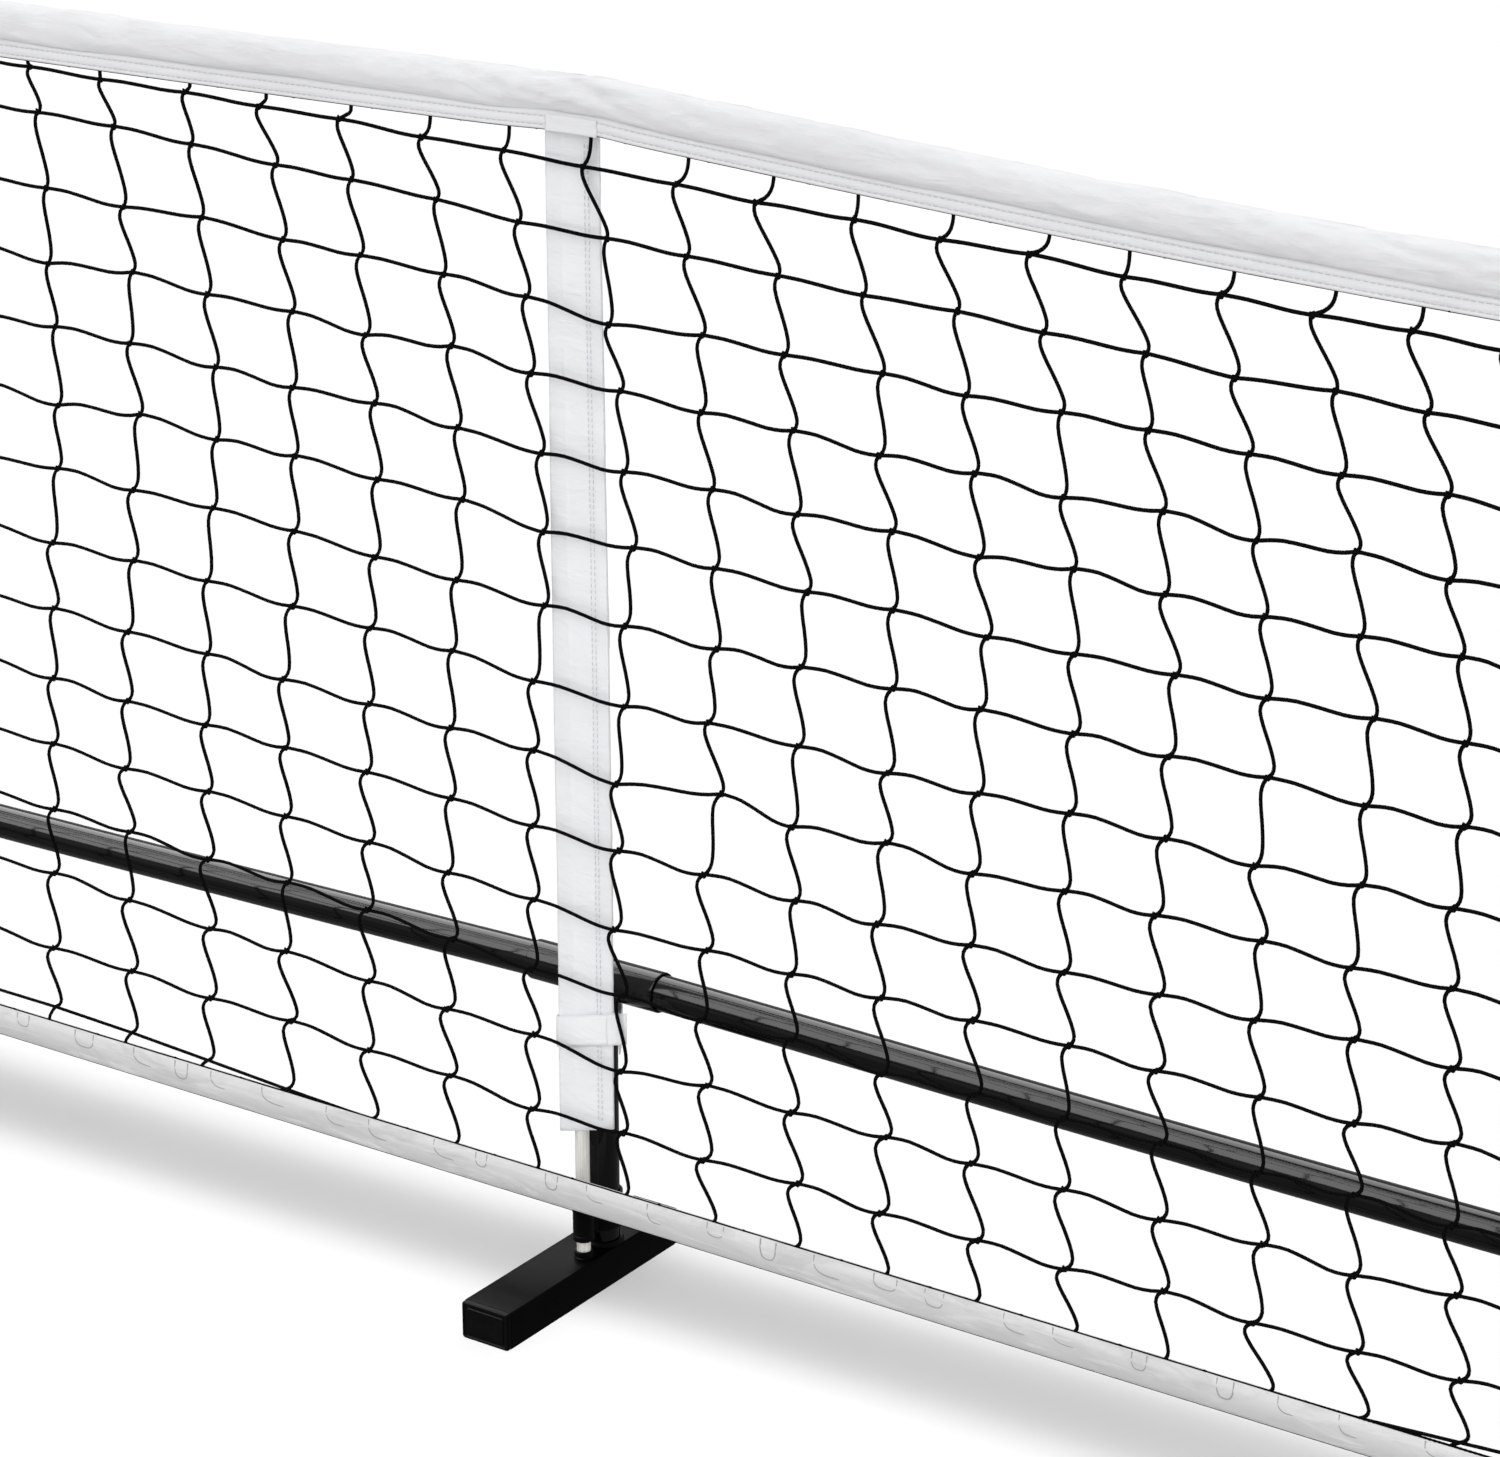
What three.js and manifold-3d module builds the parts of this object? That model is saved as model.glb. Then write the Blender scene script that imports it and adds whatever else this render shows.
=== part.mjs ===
import * as THREE from "three";
import { mergeVertices } from "three/addons/utils/BufferGeometryUtils.js";
import Module from "manifold-3d";

const wasm = await Module();
wasm.setup();

// Driving dimensions in millimetres. +X runs along the net, -Y is the front, Z is up from the ground.
const POST_X = 3353;
const NET_Y = -10;
const CENTRE_HEIGHT = 871;
const POST_HEIGHT = 914;

const RAIL_Y = 31;
const RAIL_Z = 228;
const RAIL_R = 12.7;
const TUBE_WALL = 1.5;
const RAIL_JOINTS = [1130, 2250];
const SWAGE_R = 10.9;
const SWAGE_LENGTH = 50;
const FIT = 0.3;

const FOOT_W = 40;
const FOOT_H = 28;
const FOOT_WALL = 1.6;
const FOOT_CORNER = 2;
const CENTRE_FOOT_X = -5;
const CENTRE_FOOT_Y = 1.5;
const CENTRE_FOOT_LENGTH = 203;
const END_FOOT_LENGTH = 500;
const CAP_FLANGE = 4;
const CAP_PLUG = 18;

const TEE_HALF = 54;
const TEE_R = 14.3;
const TEE_SOCKET_BOTTOM = 208;

const ROD_X = 5;
const ROD_Y = 2;
const ROD_R = 5;
const ROD_TOP = 833;
const CUP_HEIGHT = 6;
const GUIDE_BOTTOM = 42;
const GUIDE_TOP = 68;

const POST_Y = 0;
const POST_R = 16;
const SOCKET_R = 18.6;
const SOCKET_TOP = 262;
const STUB_R = 14.6;

const BUTTON_R = 3;
const BUTTON_OUT = 3.2;

const BAND_BULGE_R = 9;
const BAND_HEIGHT = 42;
const HEM = 3.2;
const BOTTOM_BAND_LOW = 69.5;
const BOTTOM_BAND_HIGH = 93.5;
const SIDE_HEM_W = 44;
const KINK_X = 40;
const SAG_LEFT = 0.0085;
const SAG_RIGHT = 0.063;
const SAG_REACH = 1400;

const STRAP_W = 45;
const STRAP_X = 11.5;
const STRAP_BOTTOM = 128;
const CENTRE_TIE_LOW = 186;
const CENTRE_TIE_HIGH = 209;
const TIE_LOW = 92;
const TIE_HIGH = 116;

const ROUND = 24;
const SMALL_ROUND = 12;

// Looks of the parts.
function look(color, roughness, metalness) {
  return new THREE.MeshStandardMaterial({ color, roughness, metalness });
}
const STEEL = look(0x141416, 0.3, 0.4);
const PLASTIC = look(0x121212, 0.55, 0.0);
const BUTTON_METAL = look(0xb8babd, 0.3, 0.9);
const FIBREGLASS = look(0xeeeeea, 0.4, 0.0);
const FABRIC = look(0xf1f1f3, 0.85, 0.0);
const TAPE = look(0xdcdcdf, 0.8, 0.0);
const CORD = look(0x0c0c0c, 0.8, 0.0);

// A three.js geometry as a solid that can be joined and cut.
function solid(geometry) {
  const bare = geometry.index ? geometry.toNonIndexed() : geometry.clone();
  bare.deleteAttribute("normal");
  bare.deleteAttribute("uv");
  const merged = mergeVertices(bare, 1e-4);
  const mesh = new wasm.Mesh({
    numProp: 3,
    vertProperties: Float32Array.from(merged.attributes.position.array),
    triVerts: Uint32Array.from(merged.index.array),
  });
  return new wasm.Manifold(mesh);
}

// A solid back as a three.js geometry.
function geometryOf(body) {
  const mesh = body.getMesh();
  const geometry = new THREE.BufferGeometry();
  const positions = Float32Array.from(mesh.vertProperties);
  geometry.setAttribute("position", new THREE.BufferAttribute(positions, 3));
  geometry.setIndex(new THREE.BufferAttribute(Uint32Array.from(mesh.triVerts), 1));
  geometry.computeVertexNormals();
  return geometry;
}

const group = new THREE.Group();
group.name = "pickleball_portable_net";

function add(name, body, material) {
  const mesh = new THREE.Mesh(geometryOf(body), material);
  mesh.name = name;
  group.add(mesh);
  return mesh;
}

// Turns the Y axis of a lathed or extruded shape to the wanted axis.
const TURN = {
  x: new THREE.Matrix4().makeRotationZ(-Math.PI / 2),
  y: new THREE.Matrix4(),
  z: new THREE.Matrix4().makeRotationX(Math.PI / 2),
};

// A round body from a closed profile of [radius, distance] pairs along an axis.
function turned(profile, axis, at, sides = ROUND) {
  const points = profile.map(([r, d]) => new THREE.Vector2(r, d));
  const geometry = new THREE.LatheGeometry(points, sides);
  geometry.applyMatrix4(TURN[axis]);
  geometry.translate(...at);
  return solid(geometry);
}

// A solid round bar from distance a to distance b along an axis.
function bar(radius, a, b, axis, at, sides = ROUND) {
  return turned([[0, a], [radius, a], [radius, b], [0, b]], axis, at, sides);
}

// An open round tube from distance a to distance b along an axis.
function tube(outer, inner, a, b, axis, at, sides = ROUND) {
  const profile = [[inner, a], [outer, a], [outer, b], [inner, b], [inner, a]];
  return turned(profile, axis, at, sides);
}

function box(x0, x1, y0, y1, z0, z1) {
  const geometry = new THREE.BoxGeometry(x1 - x0, y1 - y0, z1 - z0);
  geometry.translate((x0 + x1) / 2, (y0 + y1) / 2, (z0 + z1) / 2);
  return solid(geometry);
}

// A rectangle with rounded corners, centred on the origin.
function roundedRect(width, height, radius) {
  const w = width / 2 - radius;
  const h = height / 2 - radius;
  const shape = new THREE.Path();
  shape.absarc(w, h, radius, 0, Math.PI / 2);
  shape.absarc(-w, h, radius, Math.PI / 2, Math.PI);
  shape.absarc(-w, -h, radius, Math.PI, 1.5 * Math.PI);
  shape.absarc(w, -h, radius, 1.5 * Math.PI, 2 * Math.PI);
  return shape.getPoints(3);
}

// A rectangular bar or tube lying along Y, resting on the ground, from y0 to y1.
function lyingSection(width, height, radius, wall, x, y0, y1, z) {
  const shape = new THREE.Shape(roundedRect(width, height, radius));
  if (wall > 0) {
    const inner = roundedRect(width - 2 * wall, height - 2 * wall, radius - wall / 2);
    shape.holes.push(new THREE.Path(inner.reverse()));
  }
  const geometry = new THREE.ExtrudeGeometry(shape, { depth: y1 - y0, bevelEnabled: false });
  geometry.rotateX(Math.PI / 2);
  geometry.translate(x, y1, z);
  return solid(geometry);
}

// One foot tube with its two plug caps.
function foot(name, x, y, length, cuts) {
  const y0 = y - length / 2 + CAP_FLANGE + FIT;
  const y1 = y + length / 2 - CAP_FLANGE - FIT;
  let body = lyingSection(FOOT_W, FOOT_H, FOOT_CORNER, FOOT_WALL, x, y0, y1, FOOT_H / 2);
  for (const cut of cuts) body = body.subtract(cut);
  add(name, body, STEEL);
  const plugW = FOOT_W - 2 * FOOT_WALL - 2 * FIT;
  const plugH = FOOT_H - 2 * FOOT_WALL - 2 * FIT;
  for (const [end, side] of [["front", -1], ["back", 1]]) {
    const face = y + (side * length) / 2;
    const inner = face - side * CAP_FLANGE;
    const tip = inner - side * CAP_PLUG;
    const flange = lyingSection(
      FOOT_W, FOOT_H, FOOT_CORNER, 0, x, Math.min(face, inner), Math.max(face, inner), FOOT_H / 2);
    const low = Math.min(tip, inner) - (side < 0 ? 0.5 : 0);
    const high = Math.max(tip, inner) + (side > 0 ? 0.5 : 0);
    const plug = lyingSection(plugW, plugH, 2, 0, x, low, high, FOOT_H / 2);
    add(name + "_cap_" + end, flange.add(plug), PLASTIC);
  }
}

function buildCentreFoot() {
  const uprightHole = bar(RAIL_R + FIT, FOOT_H - 4, FOOT_H + 4, "z", [0, RAIL_Y, 0]);
  const cupHole = bar(ROD_R + FIT + 0.5, FOOT_H - 4, FOOT_H + 4, "z", [ROD_X, ROD_Y, 0]);
  foot("foot_center", CENTRE_FOOT_X, CENTRE_FOOT_Y, CENTRE_FOOT_LENGTH, [uprightHole, cupHole]);
}

function buildUpright() {
  const low = FOOT_WALL + 1.4;
  const high = RAIL_Z - TEE_R - 1;
  add("upright_center", tube(RAIL_R, RAIL_R - TUBE_WALL, low, high, "z", [0, RAIL_Y, 0]), STEEL);
  const ring = [
    [RAIL_R + FIT, FOOT_H + FIT],
    [RAIL_R + 2.6, FOOT_H + FIT],
    [RAIL_R + 2.6, FOOT_H + 2.2],
    [RAIL_R + 1.4, FOOT_H + 4],
    [RAIL_R + FIT, FOOT_H + 4],
    [RAIL_R + FIT, FOOT_H + FIT],
  ];
  add("collar_center", turned(ring, "z", [0, RAIL_Y, 0]), PLASTIC);
}

// The hole for a snap button, drilled from the tube axis outwards.
function buttonHole(axis, at, sign) {
  const a = sign > 0 ? 6 : -30;
  return bar(BUTTON_R + FIT, a, a + 24, axis, at, SMALL_ROUND);
}

// A snap button: a flange inside the inner tube and a pin that stands out of the outer tube.
function button(name, axis, at, sign, innerWall, outerWall) {
  const flange = BUTTON_R + 1.4;
  const seat = Math.sqrt(innerWall ** 2 - flange ** 2) - FIT - 0.2;
  const top = outerWall + BUTTON_OUT;
  const profile = [
    [0, seat - 1.2],
    [flange, seat - 1.2],
    [flange, seat],
    [BUTTON_R, seat],
    [BUTTON_R, top - 1.2],
    [BUTTON_R - 0.4, top - 0.4],
    [BUTTON_R - 1.2, top],
    [0, top],
  ];
  const signed = sign > 0 ? profile : profile.map(([r, d]) => [r, -d]).reverse();
  add(name, turned(signed, axis, at, SMALL_ROUND), BUTTON_METAL);
}

function buildTee() {
  const at = [0, RAIL_Y, RAIL_Z];
  const bore = RAIL_R + FIT;
  let body = bar(TEE_R, -TEE_HALF, TEE_HALF, "x", at);
  body = body.add(bar(TEE_R + 0.4, TEE_SOCKET_BOTTOM, RAIL_Z, "z", [0, RAIL_Y, 0]));
  body = body.subtract(bar(bore, -TEE_HALF - 1, TEE_HALF + 1, "x", at));
  body = body.subtract(bar(bore, TEE_SOCKET_BOTTOM - 1, RAIL_Z - TEE_R, "z", [0, RAIL_Y, 0]));
  for (const side of [-1, 1]) {
    body = body.subtract(buttonHole("y", [side * 32, RAIL_Y, RAIL_Z], 1));
  }
  add("tee_center", body, STEEL);
  for (const [name, side] of [["left", -1], ["right", 1]]) {
    button("button_tee_" + name, "y", [side * 32, RAIL_Y, RAIL_Z], 1, RAIL_R - TUBE_WALL, TEE_R);
  }
}

// The start and end of each rail section, measured from the middle of the net.
function railSpans() {
  const starts = [6, ...RAIL_JOINTS.map((x) => x + FIT)];
  const ends = [...RAIL_JOINTS, POST_X + 4];
  return starts.map((start, i) => [start, ends[i]]);
}

// One rail section. Sections after the first plug a narrower end into the one before.
function railSection(side, index, start, end) {
  const inner = RAIL_R - TUBE_WALL;
  const at = [0, RAIL_Y, RAIL_Z];
  const swageInner = SWAGE_R - 1.4;
  const profile = index === 0
    ? [[inner, start], [RAIL_R, start], [RAIL_R, end], [inner, end], [inner, start]]
    : [
      [swageInner, start - SWAGE_LENGTH],
      [SWAGE_R, start - SWAGE_LENGTH],
      [SWAGE_R, start],
      [RAIL_R, start],
      [RAIL_R, end],
      [inner, end],
      [inner, start + 4],
      [swageInner, start + 2],
      [swageInner, start - SWAGE_LENGTH],
    ];
  const signed = side > 0 ? profile : profile.map(([r, d]) => [r, -d]).reverse();
  return turned(signed, "x", at);
}

function buildRails() {
  const holes = [32, ...RAIL_JOINTS.map((x) => x - SWAGE_LENGTH / 2), POST_X - 44];
  for (const [name, side] of [["left", -1], ["right", 1]]) {
    railSpans().forEach(([start, end], index) => {
      let body = railSection(side, index, start, end);
      for (const x of holes) {
        body = body.subtract(buttonHole("y", [side * x, RAIL_Y, RAIL_Z], 1));
      }
      add("rail_" + name + "_" + (index + 1), body, STEEL);
    });
    RAIL_JOINTS.forEach((x, index) => {
      const at = [side * (x - SWAGE_LENGTH / 2), RAIL_Y, RAIL_Z];
      button("button_rail_" + name + "_" + (index + 1), "y", at, 1, SWAGE_R - 1.4, RAIL_R);
    });
  }
}

// The cup in the foot that the rod stands in, the guide on the upright, the rod and its tip.
function buildRod() {
  const at = [ROD_X, ROD_Y, 0];
  const top = FOOT_H + CUP_HEIGHT;
  const cup = [
    [0, FOOT_H - 6],
    [ROD_R + 0.4, FOOT_H - 6],
    [ROD_R + 0.4, FOOT_H + FIT],
    [ROD_R + 2, FOOT_H + FIT],
    [ROD_R + 1.7, top],
    [ROD_R + FIT, top],
    [ROD_R + FIT, FOOT_H + 1],
    [0, FOOT_H + 1],
  ];
  add("rod_cup", turned(cup, "z", at), PLASTIC);
  add("rod", bar(ROD_R, FOOT_H + 1 + FIT, ROD_TOP - 1.5, "z", at), FIBREGLASS);
  const tip = [
    [ROD_R + FIT, ROD_TOP - 20],
    [ROD_R + 1.6, ROD_TOP - 20],
    [ROD_R + 1.6, ROD_TOP - 1],
    [ROD_R - 0.4, ROD_TOP + 1],
    [0, ROD_TOP + 1],
    [0, ROD_TOP - 1],
    [ROD_R + FIT, ROD_TOP - 1],
    [ROD_R + FIT, ROD_TOP - 20],
  ];
  add("rod_tip", turned(tip, "z", at), PLASTIC);
  const upright = [0, RAIL_Y, 0];
  let guide = bar(ROD_R + 2.8, GUIDE_BOTTOM, GUIDE_TOP, "z", at);
  guide = guide.add(bar(RAIL_R + 2.2, GUIDE_BOTTOM, GUIDE_TOP, "z", upright));
  guide = guide.add(box(-4, 8, ROD_Y + 2, RAIL_Y - 6, GUIDE_BOTTOM, GUIDE_TOP));
  guide = guide.subtract(bar(ROD_R + FIT, GUIDE_BOTTOM - 1, GUIDE_TOP + 1, "z", at));
  guide = guide.subtract(bar(RAIL_R + FIT, GUIDE_BOTTOM - 1, GUIDE_TOP + 1, "z", upright));
  add("rod_guide", guide, PLASTIC);
}

// A side foot with its post socket, post, post cap and the two snap buttons.
function buildEnd(name, side) {
  const x = side * POST_X;
  const postAt = [x, POST_Y, 0];
  foot("foot_" + name, x, POST_Y, END_FOOT_LENGTH, []);

  const railAt = [0, RAIL_Y, RAIL_Z];
  const stub = [side * (POST_X - 78), side * (POST_X + 12)].sort((a, b) => a - b);
  let socket = bar(SOCKET_R, FOOT_H + FIT, SOCKET_TOP, "z", postAt);
  socket = socket.add(bar(STUB_R, stub[0], stub[1], "x", railAt));
  socket = socket.subtract(bar(POST_R + FIT, FOOT_H + 5, SOCKET_TOP + 1, "z", postAt));
  socket = socket.subtract(bar(RAIL_R + FIT, stub[0] - 1, stub[1] + 1, "x", railAt));
  const railButton = [side * (POST_X - 44), RAIL_Y, RAIL_Z];
  const postButton = [x, POST_Y, 150];
  socket = socket.subtract(buttonHole("y", railButton, 1));
  socket = socket.subtract(buttonHole("x", postButton, side));
  add("socket_" + name, socket, STEEL);

  let post = tube(POST_R, POST_R - 1.6, FOOT_H + 5 + FIT, POST_HEIGHT, "z", postAt);
  post = post.subtract(buttonHole("x", postButton, side));
  add("post_" + name, post, STEEL);

  const cap = [
    [0, POST_HEIGHT - 16],
    [POST_R - 2.2, POST_HEIGHT - 16],
    [POST_R - 1.9, POST_HEIGHT + FIT],
    [POST_R + 0.6, POST_HEIGHT + FIT],
    [POST_R + 0.6, POST_HEIGHT + 5],
    [POST_R - 3, POST_HEIGHT + 9],
    [0, POST_HEIGHT + 10],
  ];
  add("post_cap_" + name, turned(cap, "z", postAt), PLASTIC);
  button("button_socket_" + name, "y", railButton, 1, RAIL_R - TUBE_WALL, STUB_R);
  button("button_post_" + name, "x", postButton, side, POST_R - 1.6, SOCKET_R);
}

// Height of the band's top edge: propped up in the middle, nearly level to the left, slack to the right.
function bandTop(x) {
  const d = Math.abs(x - KINK_X);
  const rise = (POST_HEIGHT - CENTRE_HEIGHT) * (d / POST_X) ** 2;
  const slope = x > KINK_X ? SAG_RIGHT : SAG_LEFT;
  const dip = slope * d * Math.exp(-((d / SAG_REACH) ** 2));
  return CENTRE_HEIGHT + rise - dip;
}

// Points along the net, closer together near the middle.
function stations(end) {
  const list = [];
  const half = 12;
  for (let i = -half; i <= half; i += 1) {
    const t = i / half;
    list.push(KINK_X * (1 - Math.abs(t)) + end * Math.sign(t) * Math.abs(t) ** 1.4);
  }
  return list;
}

// A section swept along the net: section points are [y, z below the band's top edge].
function swept(section, xs) {
  const n = section.length;
  const positions = [];
  for (const x of xs) {
    for (const [y, z] of section) positions.push(x, y, bandTop(x) - z);
  }
  const index = [];
  for (let s = 0; s < xs.length - 1; s += 1) {
    for (let k = 0; k < n; k += 1) {
      const a = s * n + k;
      const b = s * n + ((k + 1) % n);
      index.push(a, b, a + n, b, b + n, a + n);
    }
  }
  const contour = section.map(([y, z]) => new THREE.Vector2(y, -z));
  const last = (xs.length - 1) * n;
  for (const face of THREE.ShapeUtils.triangulateShape(contour, [])) {
    const turn = THREE.ShapeUtils.area(face.map((i) => contour[i]));
    const [i, j, k] = turn > 0 ? face : [...face].reverse();
    index.push(i, k, j);
    index.push(last + i, last + j, last + k);
  }
  const geometry = new THREE.BufferGeometry();
  geometry.setAttribute("position", new THREE.Float32BufferAttribute(positions, 3));
  geometry.setIndex(index);
  return solid(geometry);
}

// The top band: a round roll above a flat stitched hem.
function buildTopBand() {
  const section = [];
  const steps = 12;
  const opening = Math.asin(HEM / 2 / BAND_BULGE_R);
  for (let i = 0; i <= steps; i += 1) {
    const angle = -Math.PI / 2 - opening - (i / steps) * (2 * Math.PI - 2 * opening);
    section.push([
      NET_Y + BAND_BULGE_R * Math.cos(angle),
      BAND_BULGE_R - BAND_BULGE_R * Math.sin(angle),
    ]);
  }
  section.push([NET_Y + HEM / 2, BAND_HEIGHT]);
  section.push([NET_Y - HEM / 2, BAND_HEIGHT]);
  add("band_top", swept(section.reverse(), stations(POST_X - SIDE_HEM_W - 22)), FABRIC);
}

function buildBottomBand() {
  const end = POST_X - SIDE_HEM_W - 22;
  const y = HEM / 2;
  add("band_bottom",
    box(-end, end, NET_Y - y, NET_Y + y, BOTTOM_BAND_LOW, BOTTOM_BAND_HIGH), TAPE);
}

// The netting as a thin curtain between the bands.
function buildNetting() {
  const end = POST_X - SIDE_HEM_W - 22;
  const shape = new THREE.Shape();
  const xs = stations(end);
  shape.moveTo(-end, BOTTOM_BAND_HIGH + FIT);
  shape.lineTo(end, BOTTOM_BAND_HIGH + FIT);
  for (const x of [...xs].reverse()) shape.lineTo(x, bandTop(x) - BAND_HEIGHT - FIT);
  shape.closePath();
  const thick = 2.4;
  const geometry = new THREE.ExtrudeGeometry(shape, { depth: thick, bevelEnabled: false });
  geometry.rotateX(Math.PI / 2);
  geometry.translate(0, NET_Y + thick / 2, 0);
  add("netting", solid(geometry), CORD);
}

// The side sleeve over a post, with its hem beside the netting.
function buildSleeve(name, side) {
  const x = side * POST_X;
  const top = POST_HEIGHT - 8;
  const low = SOCKET_TOP + 6;
  const outer = POST_R + 2;
  let body = tube(outer, POST_R + 0.7, low, top, "z", [x, POST_Y, 0]);
  const hemInner = side * (POST_X - SIDE_HEM_W - 21);
  const hemOuter = side * (POST_X - 21);
  const joined = side * (POST_X - 15.5);
  const y = HEM / 2;
  const flat = box(Math.min(hemInner, hemOuter), Math.max(hemInner, hemOuter),
    NET_Y - y, NET_Y + y, BOTTOM_BAND_LOW, top);
  const neck = box(Math.min(hemOuter, joined) - 0.5, Math.max(hemOuter, joined) + 0.5,
    NET_Y - y, NET_Y + y, low, top);
  body = body.add(flat).add(neck);
  body = body.subtract(bar(POST_R + 0.7, low - 1, top + 1, "z", [x, POST_Y, 0]));
  add("sleeve_" + name, body, FABRIC);
}

// A flat tube of fabric round the rod.
function buildStrap() {
  const top = CENTRE_HEIGHT - BAND_HEIGHT + 12;
  const front = ROD_Y - ROD_R - 3.3;
  const back = ROD_Y + ROD_R + 3.3;
  const x0 = STRAP_X - STRAP_W / 2;
  const x1 = STRAP_X + STRAP_W / 2;
  let body = box(x0, x1, front, back, STRAP_BOTTOM, top);
  body = body.subtract(box(x0 + 1.2, x1 - 1.2, front + 1.2, back - 1.2, STRAP_BOTTOM - 1, top + 1));
  add("strap_center", body, FABRIC);
}

// A loop of hook-and-loop tape round two things that stand one behind the other.
function tieLoop(name, x0, x1, front, back, low, high, tab) {
  const outer = box(x0 - 1.5, x1 + 1.5, front - 1.5, back + 1.5, low, high);
  let body = outer.subtract(box(x0, x1, front, back, low - 1, high + 1));
  body = body.add(box(x1 + 0.5, x1 + tab, front - 1.5, front, low, high));
  add(name, body, FABRIC);
}

function buildTies() {
  const front = ROD_Y - ROD_R - 3.3 - FIT;
  const x0 = -TEE_R - 1;
  const x1 = STRAP_X + STRAP_W / 2 + FIT;
  tieLoop("tie_center", x0, x1, front, RAIL_Y + TEE_R + 1, CENTRE_TIE_LOW, CENTRE_TIE_HIGH, 7);
}

// A tie sewn to the side hem and closed round the post socket.
function buildEndTie(name, side) {
  const at = [side * POST_X, POST_Y, 0];
  const inner = SOCKET_R + 0.6;
  const outer = inner + 1.4;
  const tabEnds = [side * (POST_X - 60), side * (POST_X - 15)].sort((a, b) => a - b);
  const tabBack = NET_Y - HEM / 2 - 0.4;
  let body = bar(outer, TIE_LOW, TIE_HIGH, "z", at);
  body = body.add(box(tabEnds[0], tabEnds[1], tabBack - 1.4, tabBack, TIE_LOW, TIE_HIGH));
  body = body.subtract(bar(inner, TIE_LOW - 1, TIE_HIGH + 1, "z", at));
  add("tie_" + name, body, FABRIC);
}

buildCentreFoot();
buildUpright();
buildTee();
buildRails();
buildRod();
for (const [name, side] of [["left", -1], ["right", 1]]) {
  buildEnd(name, side);
  buildSleeve(name, side);
  buildEndTie(name, side);
}
buildTopBand();
buildBottomBand();
buildNetting();
buildStrap();
buildTies();

export default group;
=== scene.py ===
import math
import random

import bpy
import numpy as np
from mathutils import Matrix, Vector, geometry, noise


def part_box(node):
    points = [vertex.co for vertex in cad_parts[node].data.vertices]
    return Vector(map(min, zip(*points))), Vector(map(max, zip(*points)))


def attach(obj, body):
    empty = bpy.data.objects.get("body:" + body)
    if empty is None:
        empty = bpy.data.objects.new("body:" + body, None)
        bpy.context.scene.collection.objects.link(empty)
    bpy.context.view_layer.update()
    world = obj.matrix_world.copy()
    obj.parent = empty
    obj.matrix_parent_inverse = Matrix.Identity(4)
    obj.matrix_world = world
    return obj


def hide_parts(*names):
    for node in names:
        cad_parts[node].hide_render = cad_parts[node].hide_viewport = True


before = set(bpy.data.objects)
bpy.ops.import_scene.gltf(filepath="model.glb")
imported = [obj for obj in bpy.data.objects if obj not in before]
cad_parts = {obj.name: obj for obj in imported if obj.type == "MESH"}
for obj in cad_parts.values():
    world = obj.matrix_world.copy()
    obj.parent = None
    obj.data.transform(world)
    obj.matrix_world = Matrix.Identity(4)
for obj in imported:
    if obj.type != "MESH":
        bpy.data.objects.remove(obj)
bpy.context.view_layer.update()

draw = random.Random(7)

# Driving dimensions, lengths in millimetres, in the frame's own axes: X along the net, -Y the front, Z up.
NET_Y = -10.0
STRAP_X = 11.5
CENTRE_HEIGHT = 871.0
POST_HEIGHT = 914.0
POST_X = 3353.0
KINK_X = 40.0
SAG_LEFT = 0.0085
SAG_RIGHT = 0.063
SAG_REACH = 1400.0
STRAP_WIDTH = 45.0
STRAP_SHIFT = 1.9
STRAP_EDGE = 0.75
STRAP_LOW = 124.0
STRAP_SLANT = 13.0
STRAP_TUCK = 29.0
STRAP_STITCH = 2.6
STRAP_STITCH_PITCH = 4.2
HEM_STITCH = 3.0
HEM_STITCH_PITCH = 4.8
PATCH_LEFT = 13.5
PATCH_RIGHT = 27.5
SIDE_HEM_INNER = 65.0
SIDE_HEM_OUTER = 20.0
BAND_HEIGHT = 38.8
BAND_PINCH = 1.5
HEM_HEIGHT = 12.2
ROLL_HALF_DEPTH = 8.8
CORD_R = 1.36
EDGE_CORD_R = 0.55
KNOT_R = 1.9
ROWS = 14
COLUMNS = 47
ROW_PITCH = 52.5
FIRST_ROW_Z = 766.0
COLUMN_PITCH = 67.1
COLUMN_SPREAD = 6.2
COLUMN_BEND = 0.3
NEAR_LEFT = -700
NEAR_RIGHT = 800
TEE_RISE = 4.3
RAIL_FALL_LEFT = 9.5
RAIL_FALL_RIGHT = 11.5
TUBE_WALL = 1.5
POST_WALL = 1.6
TEE_BORE_R = 12.9
SOCKET_R = 18.6
STUB_R = 14.6
HEM_FACES = 11
TIE_STEP_M = 0.0016
SLEEVE_STEP_M = 0.0024

# The stage, in millimetres, and the sky's grey levels.
FLOOR_R = 90000.0
BACKDROP_R = 85000.0
FLAG_WIDTH = 46.0
FLAG_DRIFT = 24.0
HORIZON = 0.38
ZENITH = 0.15
NADIR = 0.18

# Each light's strength, then its azimuth from the front, its elevation and its breadth in degrees.
DOME = (0.85 * math.pi, 0, 86, 150)
FILL = (0.20 * math.pi, 20, 5, 90)
BOUNCE = (0.41 * math.pi, 20, -72, 120)
OVER_FLOOR = (0.89 * math.pi, 0, 87, 8)
FRONT_BOX = (3.3, -49.9, 46.5, 59)
BACK_BOX = (1.55, -130.5, 46.1, 39)

# The camera, solved from straight edges: focal length in millimetres, place in metres, angles in degrees.
CAMERA_LENS = 102.155
CAMERA_AT = (1.62211, -2.16596, 1.38516)
CAMERA_ANGLES = (34.2393, 19.5952)


# ---------------------------------------------------------------- small helpers
def node_box(name):
    """Lowest and highest corner of a CAD node, in millimetres."""
    low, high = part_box(name)
    return np.array(low) * 1000, np.array(high) * 1000


def middle(name):
    low, high = node_box(name)
    return (low + high) / 2


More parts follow.
